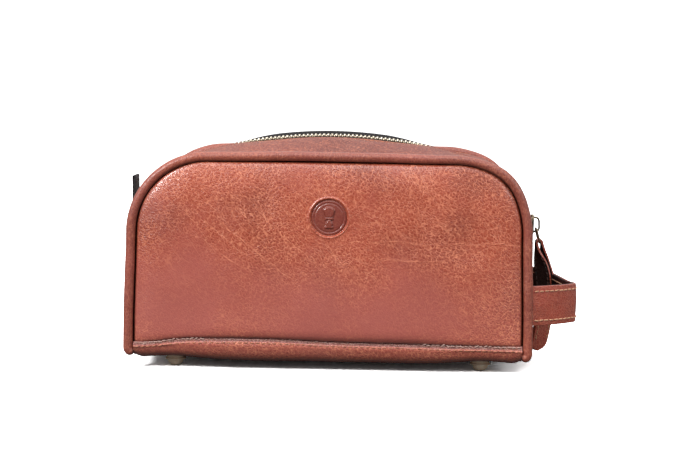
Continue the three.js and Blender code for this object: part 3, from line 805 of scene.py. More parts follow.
def medallionRelief(x, z):
    # stamped disc with a raised rim and a plain shaving brush; sizes in millimetres from the disc's middle
    u, v = (x - panel["medallionX"]) / mm, (z - panel["medallionZ"]) / mm
    r = np.hypot(u, v)
    rim = panel["medallionRadius"] / mm
    groove = -1.15 * np.exp(-(((r - rim + 0.35) / 0.5) ** 2))
    lip = 0.45 * np.exp(-(((r - rim - 0.75) / 0.6) ** 2))
    plate = -0.5 * softStep(r - rim + 0.9, 0.8)
    fan = np.maximum(-(v - 0.4), np.abs(u) - 1.7 - 0.36 * (v - 0.4))
    bristles = np.maximum(np.hypot(u / 0.92, v - 1.6) - 4.3, fan)
    collar = np.maximum(np.abs(u) - 2.0, np.abs(v + 0.45) - 0.55)
    grip = np.maximum(np.abs(u) - 1.25 - 0.5 * np.cos((v + 3.6) * 1.15), np.abs(v + 3.1) - 1.9)
    foot = np.maximum(np.abs(u) - 2.15, np.abs(v + 5.35) - 0.45)
    brush = np.minimum(np.minimum(bristles, collar), np.minimum(grip, foot))
    hairs = 0.05 * np.cos(u * 6.5 / (1 + 0.12 * (v - 0.4))) * softStep(bristles + 0.4, 0.5)
    motif = 0.95 * softStep(brush - 0.05, 0.5) + hairs
    ring = -0.35 * np.exp(-(((r - 8.2) / 0.3) ** 2))
    return (groove + lip + plate + motif + ring) * mm


def lineValues(low, high, coarse, fineLow=None, fineHigh=None, fine=None):
    # values from low to high, closer together between fineLow and fineHigh
    if fine is None:
        return np.linspace(low, high, int(round((high - low) / coarse)) + 1)
    before = np.linspace(low, fineLow, int(round((fineLow - low) / coarse)) + 1)[:-1]
    within = np.linspace(fineLow, fineHigh, int(round((fineHigh - fineLow) / fine)) + 1)[:-1]
    after = np.linspace(fineHigh, high, int(round((high - fineHigh) / coarse)) + 1)
    return np.concatenate([before, within, after])


def makePanel(side, withMedallion):
    reach = panel["medallionRadius"] + 1.6 * mm
    half = bag["pipingHalf"] - bag["pipingRadius"] + panel["overlap"]
    top = bag["pipingTop"] - bag["pipingRadius"] + panel["overlap"]
    radius = bag["pipingCorner"] - bag["pipingRadius"] + panel["overlap"]
    low = bag["baseZ"] + 4.5 * mm
    if withMedallion:
        mx, mz = panel["medallionX"] - midX, panel["medallionZ"]
        xs = lineValues(-half, half, panel["coarse"], mx - reach, mx + reach, panel["fine"])
        zs = lineValues(low, top - 0.6 * mm, panel["coarse"], mz - reach, mz + reach, panel["fine"])
    else:
        xs = lineValues(-half, half, panel["coarse"])
        zs = lineValues(low, top - 0.6 * mm, panel["coarse"])
    # lines close up beside the piping and above the lap
    near, band = panel["edgeLines"], panel["edgeBand"]
    inner = xs[(xs > -half + band) & (xs < half - band)]
    xs = np.concatenate([[-half], -half + near, inner, half - near[::-1], [half]])
    lowRows = np.linspace(low, low + panel["lowBand"], 13)
    inner = zs[(zs > low + panel["lowBand"] + 1 * mm) & (zs < top - band)]
    zs = np.concatenate([lowRows, inner, top - near[::-1], top - np.array([0.2, 0.08]) * mm])
    rise = np.clip(zs - (top - radius), 0, radius)
    arc = half - radius + np.sqrt(np.clip(radius**2 - rise**2, 0, None))
    rowHalf = np.where(zs > top - radius, arc, half)
    # columns squeeze in only near the ends of a row
    share = np.sign(xs) * np.clip((np.abs(xs) - 0.35 * half) / (0.65 * half), 0, 1) ** 2
    x = midX + xs[None, :] + share[None, :] * (rowHalf[:, None] - half)
    z = np.broadcast_to(zs[:, None], x.shape)
    y = panelFace(x, z, side)
    if withMedallion:
        y = y + medallionRelief(x, z)
    prefix = prefixOf(side)
    piece = sheetPiece(f"{prefix}_panel", np.stack([x, side * y, z], axis=2), skins["panel"])
    inside = edgeDistance(x, z)
    lapGap = z - flapTop(x, side)
    # painted shade: the panel darkens in its groove beside the piping and in the contact shadow just above the
    # lap
    pipingPaintedShade = 0.95 * softStep(inside - 1.1 * mm, 1.4 * mm)
    lapPaintedShade = 0.85 * softStep(lapGap - 0.5 * mm, 1.2 * mm)
    mark(piece, "paintedCreviceShade", np.maximum(pipingPaintedShade, lapPaintedShade))
    if withMedallion:
        r = np.hypot(x - panel["medallionX"], z - panel["medallionZ"])
        mark(piece, "stamped", softStep(r - panel["medallionRadius"] + 0.3 * mm, 0.6 * mm))
    thicken(piece, panel["thickness"])
    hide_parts(f"{prefix}_panel_lower", f"{prefix}_panel_upper")
    bendWith(piece)


makePanel(-1, True)
makePanel(1, False)
print("panels made")


# Piping
piping = {"steps": (34, 30, 60), "tuckZ": 9.4 * mm, "tuckRadius": 3 * mm, "tuckTurn": 48}


def pipingPath(side):
    x, z, _, _ = pipingOutline(piping["tuckZ"] + piping["tuckRadius"], piping["steps"])
    turn = np.linspace(math.radians(piping["tuckTurn"]), 0, 7)[:-1]
    r = piping["tuckRadius"]
    rightX = midX + bag["pipingHalf"] - r + r * np.cos(turn)
    rightZ = piping["tuckZ"] + r - r * np.sin(turn)
    x = np.concatenate([rightX, x, (2 * midX - rightX)[::-1]])
    z = np.concatenate([rightZ, z, rightZ[::-1]])
    path = np.stack([x, np.full(len(x), side * bag["pipingY"]), z], axis=1)
    path[:, 1] += ripple(path, 40, 0.5 * mm, 20 + side)
    path[:, 2] += ripple(path, 30, 0.6 * mm, 30 + side) * smooth(60 * mm, 100 * mm, z)
    return path


def makePiping(side):
    path = pipingPath(side)
    radii = bag["pipingRadius"] * (1 + ripple(path, 70, 0.05, side)) + ripple(path, 420, 0.07 * mm, side + 3)
    prefix = prefixOf(side)
    piece = tubePiece(f"{prefix}_piping", path, radii, skins["piping"], sides=20)
    place = np.array([v.co for v in piece.data.vertices])
    # painted shade: the cord darkens where it turns in against the panel's edge
    mark(piece, "paintedCreviceShade", 0.9 * softStep(0.1 * mm - edgeDistance(place[:, 0], place[:, 2]), 1.0 * mm))
    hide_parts(f"{prefix}_piping_upper", f"{prefix}_piping_left", f"{prefix}_piping_right")
    bendWith(piece)


for side in (-1, 1):
    makePiping(side)
print("piping made")


# Top gussets, zip tape and teeth
gusset = {
    "steps": (6, 40, 110), "legZ": hingeZ - 6 * mm, "zipEdge": 5.4 * mm, "across": 26,
    "welt": 0.35 * mm, "weltIn": 1.3 * mm, "seam": 0.45 * mm, "seamIn": 3.2 * mm, "tapeThickness": 0.6 * mm,
}
tape = {  # across the tape, in millimetres: distance from the middle, lift, and height of the far tape's fold
    "profile": np.array([
        (1.2, -0.25, 0.0), (1.5, -0.2, 0.1), (2.0, -0.3, 0.6), (2.5, -0.5, 1.3), (3.0, -0.7, 1.9),
        (3.5, -0.9, 2.25), (4.0, -1.1, 2.4), (4.5, -1.3, 2.5), (5.0, -1.5, 2.4), (5.6, -1.8, 1.3),
        (6.4, -2.0, 0.0), (9.0, -2.1, 0.0), (12.5, -2.1, 0.0)]),
    "foldFrom": 124.5 * mm, "foldTo": 130.5 * mm, "steps": (4, 30, 80),
}


def archNormals(grid, middleZ):
    # directions away from a line through the bag's middle, in the X-Z plane
    normal = grid - np.array([midX, 0, middleZ])
    normal[..., 1] = 0
    return normal / np.linalg.norm(normal, axis=2)[..., None]


def makeGusset(side):
    y = np.linspace(gusset["zipEdge"], gussetEdgeY + 1.0 * mm, gusset["across"])
    # the edge beside the zip is turned under and stitched flat, with a low welt behind it
    welt = gusset["welt"] * np.exp(-(((y - gusset["zipEdge"] - gusset["weltIn"]) / (1.0 * mm)) ** 2))
    seam = -gusset["seam"] * np.exp(-(((y - gusset["zipEdge"] - gusset["seamIn"]) / (0.5 * mm)) ** 2))
    grid = gussetGrid(side * y, welt + seam, gusset["legZ"], gusset["steps"])
    away = np.clip((y - gusset["zipEdge"]) / (10 * mm), 0, 1) * np.clip((gussetEdgeY - y) / (6 * mm), 0, 1)
    lift = (ripple(grid, 30, 0.9 * mm, 40 + side) + ripple(grid, 130, 0.16 * mm, 50 + side)) * away[None, :]
    pucker = ripple(grid * np.array([1, 0.12, 1]), 330, 0.5 * mm, 60 + side)
    lift += pucker * np.exp(-(((gussetEdgeY - y - 3 * mm) / (5 * mm)) ** 2))[None, :]
    prefix = prefixOf(side)
    raised = grid + archNormals(grid, 60 * mm) * lift[..., None]
    piece = sheetPiece(f"{prefix}_top_gusset_leather", raised, skins["gusset"])
    thicken(piece, bag["leather"], 0.4 * mm)
    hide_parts(f"{prefix}_top_gusset")
    bendWith(piece)


def makeTape(side):
    y, lift, fold = tape["profile"].T * mm
    grid = gussetGrid(side * y, lift, gusset["legZ"] + 1 * mm, tape["steps"])
    if side > 0:  # the far tape stands up as a low fold behind the teeth along the crown
        grid[..., 2] += smooth(tape["foldFrom"], tape["foldTo"], grid[..., 2]) * fold[None, :]
    piece = sheetPiece(f"{prefixOf(side)}_zip_tape_cloth", grid, skins["tape"])
    thicken(piece, gusset["tapeThickness"])
    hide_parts(f"{prefixOf(side)}_zip_tape")
    bendWith(piece)


# Geometry nodes shared by the teeth and the stitches: copies of a small shape set along a curve
def makeAlongTree():
    tree = bpy.data.node_groups.new("copies along a path", "GeometryNodeTree")
    face = tree.interface
    face.new_socket("Curve", in_out="INPUT", socket_type="NodeSocketGeometry")
    for label, kind, value in (
        ("Spacing", "Float", 0.002), ("Shape", "Object", None), ("Material", "Material", None),
        ("Flat Side", "Vector", (0, 1, 0)), ("Jitter", "Float", 0.0), ("Seed", "Int", 1),
        ("Scatter", "Float", 0.0),
    ):
        socket = face.new_socket(label, in_out="INPUT", socket_type="NodeSocket" + kind)
        if value is not None:
            socket.default_value = value
    face.new_socket("Pieces", in_out="OUTPUT", socket_type="NodeSocketGeometry")
    nodes, links = tree.nodes, tree.links
    given, out = nodes.new("NodeGroupInput"), nodes.new("NodeGroupOutput")

    def randomWithin(label):
        # a random vector between minus and plus the named input
        pick = nodes.new("FunctionNodeRandomValue")
        pick.data_type = "FLOAT_VECTOR"
        for limit, sign in (("Min", -1), ("Max", 1)):
            scale = nodes.new("ShaderNodeVectorMath")
            scale.operation = "SCALE"
            scale.inputs[0].default_value = (sign, sign, sign)
            links.new(given.outputs[label], scale.inputs["Scale"])
            links.new(scale.outputs[0], pick.inputs[limit])
        links.new(given.outputs["Seed"], pick.inputs["Seed"])
        return pick.outputs["Value"]

    points = nodes.new("GeometryNodeCurveToPoints")
    points.mode = "LENGTH"
    info = nodes.new("GeometryNodeObjectInfo")
    along = nodes.new("FunctionNodeAlignRotationToVector")
    along.axis = "X"
    flat = nodes.new("FunctionNodeAlignRotationToVector")
    flat.axis, flat.pivot_axis = "Y", "X"
    turn = nodes.new("FunctionNodeEulerToRotation")
    spin = nodes.new("FunctionNodeRotateRotation")
    spin.rotation_space = "LOCAL"
    shift = nodes.new("GeometryNodeSetPosition")
    place = nodes.new("GeometryNodeInstanceOnPoints")
    real = nodes.new("GeometryNodeRealizeInstances")
    paint = nodes.new("GeometryNodeSetMaterial")
    for output, target in (
        (given.outputs["Curve"], points.inputs["Curve"]),
        (given.outputs["Spacing"], points.inputs["Length"]),
        (given.outputs["Shape"], info.inputs["Object"]),
        (points.outputs["Tangent"], along.inputs["Vector"]),
        (along.outputs["Rotation"], flat.inputs["Rotation"]),
        (given.outputs["Flat Side"], flat.inputs["Vector"]),
        (randomWithin("Jitter"), turn.inputs["Euler"]),
        (flat.outputs["Rotation"], spin.inputs["Rotation"]),
        (turn.outputs["Rotation"], spin.inputs["Rotate By"]),
        (points.outputs["Points"], shift.inputs["Geometry"]),
        (randomWithin("Scatter"), shift.inputs["Offset"]),
        (shift.outputs["Geometry"], place.inputs["Points"]),
        (info.outputs["Geometry"], place.inputs["Instance"]),
        (spin.outputs["Rotation"], place.inputs["Rotation"]),
        (place.outputs["Instances"], real.inputs["Geometry"]),
        (real.outputs["Geometry"], paint.inputs["Geometry"]),
        (given.outputs["Material"], paint.inputs["Material"]),
        (paint.outputs["Geometry"], out.inputs["Pieces"]),
    ):
        links.new(output, target)
    return tree


alongTree = makeAlongTree()


def setAlong(name, paths, shape, material, spacing, flatSide=(0, 1, 0), jitter=0.0, seed=1, scatter=0.0):
    # run the tree on open paths and keep the result as a plain mesh
    data = bpy.data.curves.new(name, "CURVE")
    data.dimensions = "3D"
    for path in paths:
        spline = data.splines.new("POLY")
        spline.points.add(len(path) - 1)
        spline.points.foreach_set("co", np.column_stack([np.asarray(path, float), np.ones(len(path))]).ravel())
    carrier = bpy.data.objects.new(name, data)
    bpy.context.scene.collection.objects.link(carrier)
    modifier = carrier.modifiers.new("copies", "NODES")
    modifier.node_group = alongTree
    values = {
        "Spacing": spacing, "Shape": shape, "Material": material, "Flat Side": flatSide,
        "Jitter": jitter, "Seed": seed, "Scatter": scatter,
    }
    for item in alongTree.interface.items_tree:
        if item.item_type == "SOCKET" and item.in_out == "INPUT" and item.name in values:
            modifier[item.identifier] = values[item.name]
    graph = bpy.context.evaluated_depsgraph_get()
    graph.update()
    mesh = bpy.data.meshes.new_from_object(carrier.evaluated_get(graph), depsgraph=graph)
    bpy.data.objects.remove(carrier)
    piece = bpy.data.objects.new(name, mesh)
    bpy.context.scene.collection.objects.link(piece)
    if not mesh.materials:
        mesh.materials.append(material)
    return piece


def hiddenShape(name, vertices, faces):
    # a small source shape that is only ever copied
    mesh = bpy.data.meshes.new(name)
    mesh.from_pydata(vertices, [], faces)
    body = bmesh.new()
    body.from_mesh(mesh)
    bmesh.ops.recalc_face_normals(body, faces=body.faces)
    body.to_mesh(mesh)
    body.free()
    mesh.polygons.foreach_set("use_smooth", [True] * len(mesh.polygons))
    return bpy.data.objects.new(name, mesh)


def stitchShape(name, length, radius):
    # one thread float: a bead that dips at both ends, long side on X; rings give place, size and lift
    rings = [(-0.5, 0.35, -0.5), (-0.36, 0.85, -0.1), (0.0, 1.0, 0.25), (0.36, 0.85, -0.1), (0.5, 0.35, -0.5)]
    sides = 6
    vertices = []
    for place, size, lift in rings:
        for k in range(sides):
            angle = 2 * math.pi * k / sides
            y, z = size * radius * math.cos(angle), size * radius * math.sin(angle) + lift * radius
            vertices.append((place * length, y, z))
    return hiddenShape(name, vertices, cappedFaces(len(rings), sides))


tooth = {
    "pitch": 2.4 * mm, "length": 1.05 * mm, "depth": 3.7 * mm, "height": 2.0 * mm, "out": 1.35 * mm,
    "sunk": 1.3 * mm, "start": 0.8 * mm, "crownRise": 2.0 * mm, "farDrop": 0.7 * mm,
}


def toothShape():
    # a pressed metal tooth: X along the zip, Y across it (its nose at +Y), Z out of the bag
    l, d, h = tooth["length"] / 2, tooth["depth"], tooth["height"] / 2
    profile = [(-0.5 * d, 0.75), (-0.42 * d, 1.0), (0.18 * d, 1.0), (0.34 * d, 0.82), (0.5 * d, 0.5)]
    vertices = []
    for y, size in profile:
        width, height = l * (0.85 + 0.15 * size), h * size
        right = [(width, -height), (width, height * 0.55), (width * 0.6, height)]
        left = [(-x, z) for x, z in right[::-1]]
        vertices += [(x, y, z) for x, z in left[-1:] + right + left[:-1]]
    return hiddenShape("tooth", vertices, cappedFaces(len(profile), 6))


toothObject = toothShape()
toothTurned = toothShape()
toothTurned.data.transform(Matrix.Rotation(math.pi, 4, "Z"))


def ridgePath(y, lift, legZ):
    return gussetGrid([y], [lift], legZ, (8, 60, 200))[:, 0]


def makeTeeth(side):
    # the front row's noses point back (+Y); the back row is turned round, half a pitch on and a little lower
    start, drop, shape = tooth["start"], 0, toothObject
    if side > 0:
        start, drop, shape = start + tooth["pitch"] / 2, tooth["farDrop"], toothTurned
    path = ridgePath(side * tooth["out"], -tooth["sunk"], hingeZ + start)
    path[:, 2] += tooth["crownRise"] * smooth(124.0 * mm, 129.5 * mm, path[:, 2]) - drop
    prefix = prefixOf(side)
    piece = setAlong(f"{prefix}_teeth_row", [path], shape, skins["teeth"], tooth["pitch"], jitter=0.03, seed=3)
    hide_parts(f"{prefix}_zip_teeth")
    bendWith(piece)


for side in (-1, 1):
    makeGusset(side)
    makeTape(side)
    makeTeeth(side)
print("gussets and zip made")


# Side panels
sidePanel = {
    "topZ": hingeZ - 0.5 * mm, "lowZ": bag["baseZ"] + 0.8 * mm, "lap": 1.6 * mm, "fullness": 1.2 * mm,
    "tuck": 4.6 * mm, "dip": 1.2 * mm, "dipWidth": 9 * mm, "stitchDown": 3 * mm, "stitchPitch": 3.1 * mm,
}


def sideX(y, z):
    # outer face of the end gusset, a little fuller low down and tucked in above the floor
    across = crownShare(y)
    x = bag["pipingHalf"] + (bag["ridgeHalf"] - bag["pipingHalf"]) * across
    x = x + sidePanel["fullness"] * np.sin(np.clip((z - 10 * mm) / (60 * mm), 0, 1) * math.pi) * across
    return x - sidePanel["tuck"] * np.clip((18 * mm - z) / (11 * mm), 0, 1) ** 2


def sideDip(y):
    # the top edge dips a little where the zip comes down
    return sidePanel["dip"] * np.exp(-((y / sidePanel["dipWidth"]) ** 2))


def makeSidePanel(end):
    y = np.linspace(-gussetEdgeY - 1 * mm, gussetEdgeY + 1 * mm, 60)
    top = sidePanel["topZ"]
    yy, zz = np.meshgrid(y, lineValues(sidePanel["lowZ"], top, 1.5 * mm))
    dip = sideDip(yy) * smooth(40 * mm, top, zz)
    overlap = sidePanel["lap"] * smooth(top - 16 * mm, top - 5 * mm, zz) * np.clip(crownShare(yy) * 3, 0, 1)
    place = np.stack([yy, zz, zz * 0], axis=2)
    bumps = ripple(place, 34, 0.8 * mm, 70 + end) + ripple(place, 120, 0.2 * mm, 80 + end)
    x = sideX(yy, zz) + overlap + bumps * np.clip(crownShare(yy) * 2, 0, 1)
    grid = np.stack([midX + end * x, yy, zz - dip], axis=2)
    name = "left" if end < 0 else "right"
    piece = sheetPiece(f"{name}_end_leather", grid, skins["gusset"])
    thicken(piece, bag["leather"], 0.4 * mm)
    settle(piece)
    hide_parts(f"{name}_side_panel")
    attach(piece, "bag")
    # one row of stitches holds the top edge down
    rowZ = top - sidePanel["stitchDown"]
    ys = np.linspace(-gussetEdgeY + 1 * mm, gussetEdgeY - 1 * mm, 90)
    out = sideX(ys, rowZ) + sidePanel["lap"] * np.clip(crownShare(ys) * 3, 0, 1) + 0.15 * mm
    path = np.stack([midX + end * out, ys, np.full(len(ys), rowZ) - sideDip(ys)], axis=1)
    pitch = sidePanel["stitchPitch"]
    row = setAlong(f"{name}_end_stitches", [path], stitchObject, skins["darkThread"], pitch, (0, 0, 1), 0.05, 7)
    settle(row)
    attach(row, "bag")


stitchObject = stitchShape("stitch", 2.5 * mm, 0.36 * mm)
for end in (-1, 1):
    makeSidePanel(end)


# Base
footLow, footHigh = boxOf("foot_front_right")
base = {
    "half": 108.6 * mm, "lapY": bag["pipingY"] + 2.3 * mm, "rowCount": 170, "sag": 2.3 * mm, "bend": 7 * mm,
    "footX": (footLow.x + footHigh.x) / 2 - midX, "footY": abs(footLow.y + footHigh.y) / 2, "rawEdge": 2.1 * mm,
    "endLift": 1.6 * mm, "looseBeyond": 62 * mm,
}


def baseHeight(x, y):
    # the leather is drawn up at the four feet and hangs a little between them
    u, v = np.abs(x - midX), np.abs(y)
    atFoot = np.exp(-(((u - base["footX"]) / (20 * mm)) ** 2) - (((v - base["footY"]) / (26 * mm)) ** 2))
    points = np.stack([x, y, x * 0], axis=-1)
    return bag["baseZ"] - base["sag"] * (1 - atFoot) + ripple(points, 28, 0.5 * mm, 90) * (1 - atFoot)


def baseHalf(x, side):
    # one side of the base's outline: raw edge, lap and the bend round to the underside, as y and z for each x
    lapY, bend = base["lapY"], base["bend"]
    top = flapTop(x, side)
    rawLow = top - base["rawEdge"]
    floor = baseHeight(x, np.full_like(x, side * (lapY - bend)))
    half = [(np.full_like(x, side * (lapY - 1.5 * mm)), top)]
    half.append((np.full_like(x, side * (lapY - 0.1 * mm)), rawLow))
    for share in np.linspace(0.2, 1, 3):
        z = rawLow * (1 - share) + (floor + bend) * share
        half.append((np.full_like(x, side * (lapY + 0.5 * mm * math.sin(share * math.pi))), z))
    for angle in np.linspace(0, math.pi / 2, 7)[1:]:
        y = side * (lapY - bend + bend * math.cos(angle)) + x * 0
        half.append((y, floor + bend - bend * math.sin(angle)))
    return half


def makeBase():
    x = midX + np.linspace(-base["half"], base["half"], base["rowCount"])
    flat = base["lapY"] - base["bend"]
    flatY = np.linspace(-flat, flat, 40)[1:-1]
    middle = [(np.full_like(x, y), baseHeight(x, np.full_like(x, y))) for y in flatY]
    profile = baseHalf(x, -1) + middle + baseHalf(x, 1)[::-1]
    grid = np.stack([np.stack([x, y, z], axis=1) for y, z in profile], axis=1)
    ends = np.abs(grid[..., 0] - midX) / base["half"]
    grid[..., 2] += base["endLift"] * smooth(0.95, 1.0, ends) * (grid[..., 2] < bag["baseZ"] + 4 * mm)
    slots = np.zeros((grid.shape[0] - 1, grid.shape[1] - 1), int)
    slots[:, 0] = slots[:, -1] = 1
    piece = sheetPiece("base_leather", grid, skins["bag"], skins["raw"], slots=slots.ravel())
    thicken(piece, bag["leather"], 0.25 * mm)
    heights = np.array([vertex.co.z for vertex in piece.data.vertices])
    # painted shade: the leather darkens towards the base's underside, standing for the shade under the bag
    mark(piece, "paintedCreviceShade", 0.5 * (1 - smooth(bag["baseZ"] - 1 * mm, bag["baseZ"] + 9 * mm, heights)))
    settle(piece)
    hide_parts("base_panel")
    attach(piece, "bag")


def makeBaseThreads(side):
    # stitches just under the raw edge, and frayed threads along it, thicker towards the ends
    xs = midX + np.linspace(-base["half"] + 2 * mm, base["half"] - 2 * mm, 200)
    top = flapTop(xs, side)
    outY = np.full_like(xs, side * (base["lapY"] + 0.25 * mm))
    edgeY = np.full_like(xs, side * (base["lapY"] - 0.5 * mm))
    edgeZ = top - 0.5 * base["rawEdge"]
    seam = np.stack([xs, outY, top - base["rawEdge"] - 0.7 * mm], axis=1)
    fray = np.stack([xs, edgeY, edgeZ], axis=1)
    thick = np.stack([xs, edgeY, edgeZ + 0.6 * mm], axis=1)
    ends = np.abs(xs - midX + 8 * mm) > base["looseBeyond"]
    first, last = int(np.argmin(ends)), len(ends) - int(np.argmin(ends[::-1]))
    for label, paths, shape, thread, pitch, jitter, scatter in (
        ("seam", [seam], stitchObject, "darkThread", 3.2 * mm, 0.12, 0.12 * mm),
        ("fray", [fray], frayObject, "fray", 0.9 * mm, 0.9, 0.5 * mm),
        ("loose", [thick[:first], thick[last:]], stitchObject, "fray", 2.6 * mm, 0.5, 0.3 * mm),
    ):
        name = f"{prefixOf(side)}_base_{label}"
        row = setAlong(name, paths, shape, skins[thread], pitch, (0, 0, 1), jitter, 11, scatter)
        settle(row)
        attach(row, "bag")


frayObject = stitchShape("fray", 1.5 * mm, 0.13 * mm)
makeBase()
for side in (-1, 1):
    makeBaseThreads(side)
print("side panels and base made")


# Feet, washers and board
footCorners = ("front_left", "front_right", "back_left", "back_right")
footProfile = [  # radius, height in millimetres: worn flat, dome, flange, collar, shank
    (1.6, 0.0), (2.6, 0.12), (3.4, 0.5), (4.1, 1.2), (4.5, 2.0), (4.6, 2.7), (4.45, 3.1), (4.35, 3.3),
    (5.6, 3.42), (6.05, 3.6), (6.15, 3.95), (6.05, 4.35), (5.6, 4.6), (5.0, 4.7), (4.9, 4.8), (5.2, 5.0),
    (5.25, 5.5), (5.25, 6.6), (5.1, 7.0), (1.4, 7.1), (1.4, 12.2),
]


def makeFoot(corner):
    low, high = boxOf(f"foot_{corner}")
    sides = 48
    angles = np.linspace(0, 2 * math.pi, sides, endpoint=False)
    rows = [np.array([(r * math.cos(a), r * math.sin(a), z) for a in angles]) for r, z in footProfile]
    vertices = (np.concatenate(rows) * mm + np.array([(low.x + high.x) / 2, (low.y + high.y) / 2, 0])).tolist()
    mesh = bpy.data.meshes.new(f"stud_{corner}")
    mesh.from_pydata(vertices, [], cappedFaces(len(rows), sides))
    piece = faceOut(newPiece(f"stud_{corner}", mesh, skins["foot"]))
    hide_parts(f"foot_{corner}")
    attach(piece, "bag")


def repaint(node, material):
    # a CAD piece keeps its shape and takes a better finish
    for holder in bpy.data.objects:
        if holder.name == node and holder.type == "MESH":
            holder.data.materials.clear()
            holder.data.materials.append(material)


for corner in footCorners:
    makeFoot(corner)
for corner in footCorners:
    repaint(f"foot_washer_{corner}", skins["foot"])
repaint("base_board", skins["board"])
print("feet made")


# Wrist strap
strapLow, strapHigh = boxOf("wrist_strap_outer")
strap = {
    "lowZ": strapLow.z, "highZ": strapHigh.z, "outX": strapHigh.x - midX, "layer": 1.5 * mm, "steps": 130,
    "stitchIn": 3.0 * mm, "stitchPitch": 3.4 * mm, "crown": 0.35 * mm, "droop": 0.5 * mm, "rise": 1.5 * mm,
}


def splinePoints(points, count, fine=24):
    # centripetal Catmull-Rom through points, evenly spaced
    points = [Vector(p) for p in points]
    ends = [points[0] * 2 - points[1]] + points + [points[-1] * 2 - points[-2]]
    dense = []
    for i in range(1, len(ends) - 2):
        p0, p1, p2, p3 = ends[i - 1:i + 3]
        t0, t1 = 0, (p1 - p0).length ** 0.5
        t2 = t1 + (p2 - p1).length ** 0.5
        t3 = t2 + (p3 - p2).length ** 0.5
        for k in range(fine):
            t = t1 + (t2 - t1) * k / fine
            a1 = p0 * ((t1 - t) / (t1 - t0)) + p1 * ((t - t0) / (t1 - t0))
            a2 = p1 * ((t2 - t) / (t2 - t1)) + p2 * ((t - t1) / (t2 - t1))
            a3 = p2 * ((t3 - t) / (t3 - t2)) + p3 * ((t - t2) / (t3 - t2))
            b1 = a1 * ((t2 - t) / (t2 - t0)) + a2 * ((t - t0) / (t2 - t0))
            b2 = a2 * ((t3 - t) / (t3 - t1)) + a3 * ((t - t1) / (t3 - t1))
            dense.append(b1 * ((t2 - t) / (t2 - t1)) + b2 * ((t - t1) / (t2 - t1)))
    dense = np.array([tuple(p) for p in dense + [points[-1]]])
    length = np.concatenate([[0], np.cumsum(np.linalg.norm(np.diff(dense, axis=0), axis=1))])
    even = np.linspace(0, length[-1], count)
    return np.stack([np.interp(even, length, dense[:, k]) for k in range(3)], axis=1)


def strapLine():
    # the middle line of the band seen from above, as in the frame
    half, y = bag["pipingHalf"], bag["pipingY"]
    out = strap["outX"] - strap["layer"]
    points = [
        (half + 2.6 * mm, -y + 0.6 * mm, 0), (half + 15 * mm, -y + 8 * mm, 0),
        (out - 4.5 * mm, -y + 15.5 * mm, 0), (out, -y + 21.5 * mm, 0), (out - 2.4 * mm, -23 * mm, 0),
        (out - 6 * mm, -8 * mm, 0), (out - 10.3 * mm, 7 * mm, 0), (half + 11.5 * mm, 28 * mm, 0),
        (half + 2.6 * mm, y - 0.6 * mm, 0),
    ]
    line = splinePoints(points, strap["steps"])
    line[:, 0] += midX
    ahead = np.gradient(line, axis=0)
    ahead /= np.linalg.norm(ahead, axis=1)[:, None]
    outward = np.stack([ahead[:, 1], -ahead[:, 0], ahead[:, 0] * 0], axis=1)
    return line, outward


def strapGrid(lift, heights):
    line, outward = strapLine()
    z = np.asarray(heights)[None, :]
    share = np.linspace(0, 1, len(line))[:, None]
    # the band's edges roll a touch, it droops slightly in the middle and its far side stands higher
    centreZ = (strap["lowZ"] + strap["highZ"]) / 2
    domed = (1 - ((z - centreZ) / (strap["highZ"] - strap["lowZ"]) * 2) ** 2) * strap["crown"]
    place = line[:, None, :] + outward[:, None, :] * (lift + domed)[..., None]
    place[..., 2] = z - strap["droop"] * np.sin(share * math.pi) + strap["rise"] * smooth(0.32, 0.62, share)
    bumps = ripple(place, 90, 0.25 * mm, 100) + ripple(place, 260, 0.08 * mm, 104)
    return place + outward[:, None, :] * bumps[..., None]


def makeStrap():
    heights = np.linspace(strap["lowZ"], strap["highZ"], 22)
    loopMiddle = Vector((midX + bag["pipingHalf"] + 8 * mm, -5 * mm, 40 * mm))
    layer = strap["layer"]
    outer = sheetPiece("strap_band", strapGrid(layer + 0.1 * mm, heights), skins["strap"], middle=loopMiddle)
    thicken(outer, layer, 0.45 * mm, 3)
    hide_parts("wrist_strap_outer")
    # the strap's back layer takes the near-black leather, its darkness partly painted shade
    inner = sheetPiece("strap_back", strapGrid(0.0, heights), skins["fleshAndShade"], middle=loopMiddle)
    thicken(inner, layer - 0.2 * mm, 0.45 * mm, 3)
    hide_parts("wrist_strap_lining")
    for piece in (outer, inner):
        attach(piece, "bag")
    rows = []
    for z in (strap["lowZ"] + strap["stitchIn"], strap["highZ"] - strap["stitchIn"]):
        rows.append(strapGrid(layer + 0.28 * mm, [z])[3:-3, 0])
        rows.append(strapGrid(-layer + 0.02 * mm, [z])[3:-3, 0])
    pitch, scatter = strap["stitchPitch"], 0.08 * mm
    stitches = setAlong("strap_stitches", rows, strapStitch, skins["thread"], pitch, (0, 0, 1), 0.16, 21, scatter)
    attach(stitches, "bag")


strapStitch = stitchShape("strap stitch", 2.9 * mm, 0.42 * mm)
makeStrap()
print("strap made")


# Zip slider, link, pull, stops and grab tab
sliderLow, sliderHigh = boxOf("slider_body")
bridgeLow, bridgeHigh = boxOf("slider_bridge")
linkLow, linkHigh = boxOf("pull_link")
pullLow, pullHigh = boxOf("leather_pull")


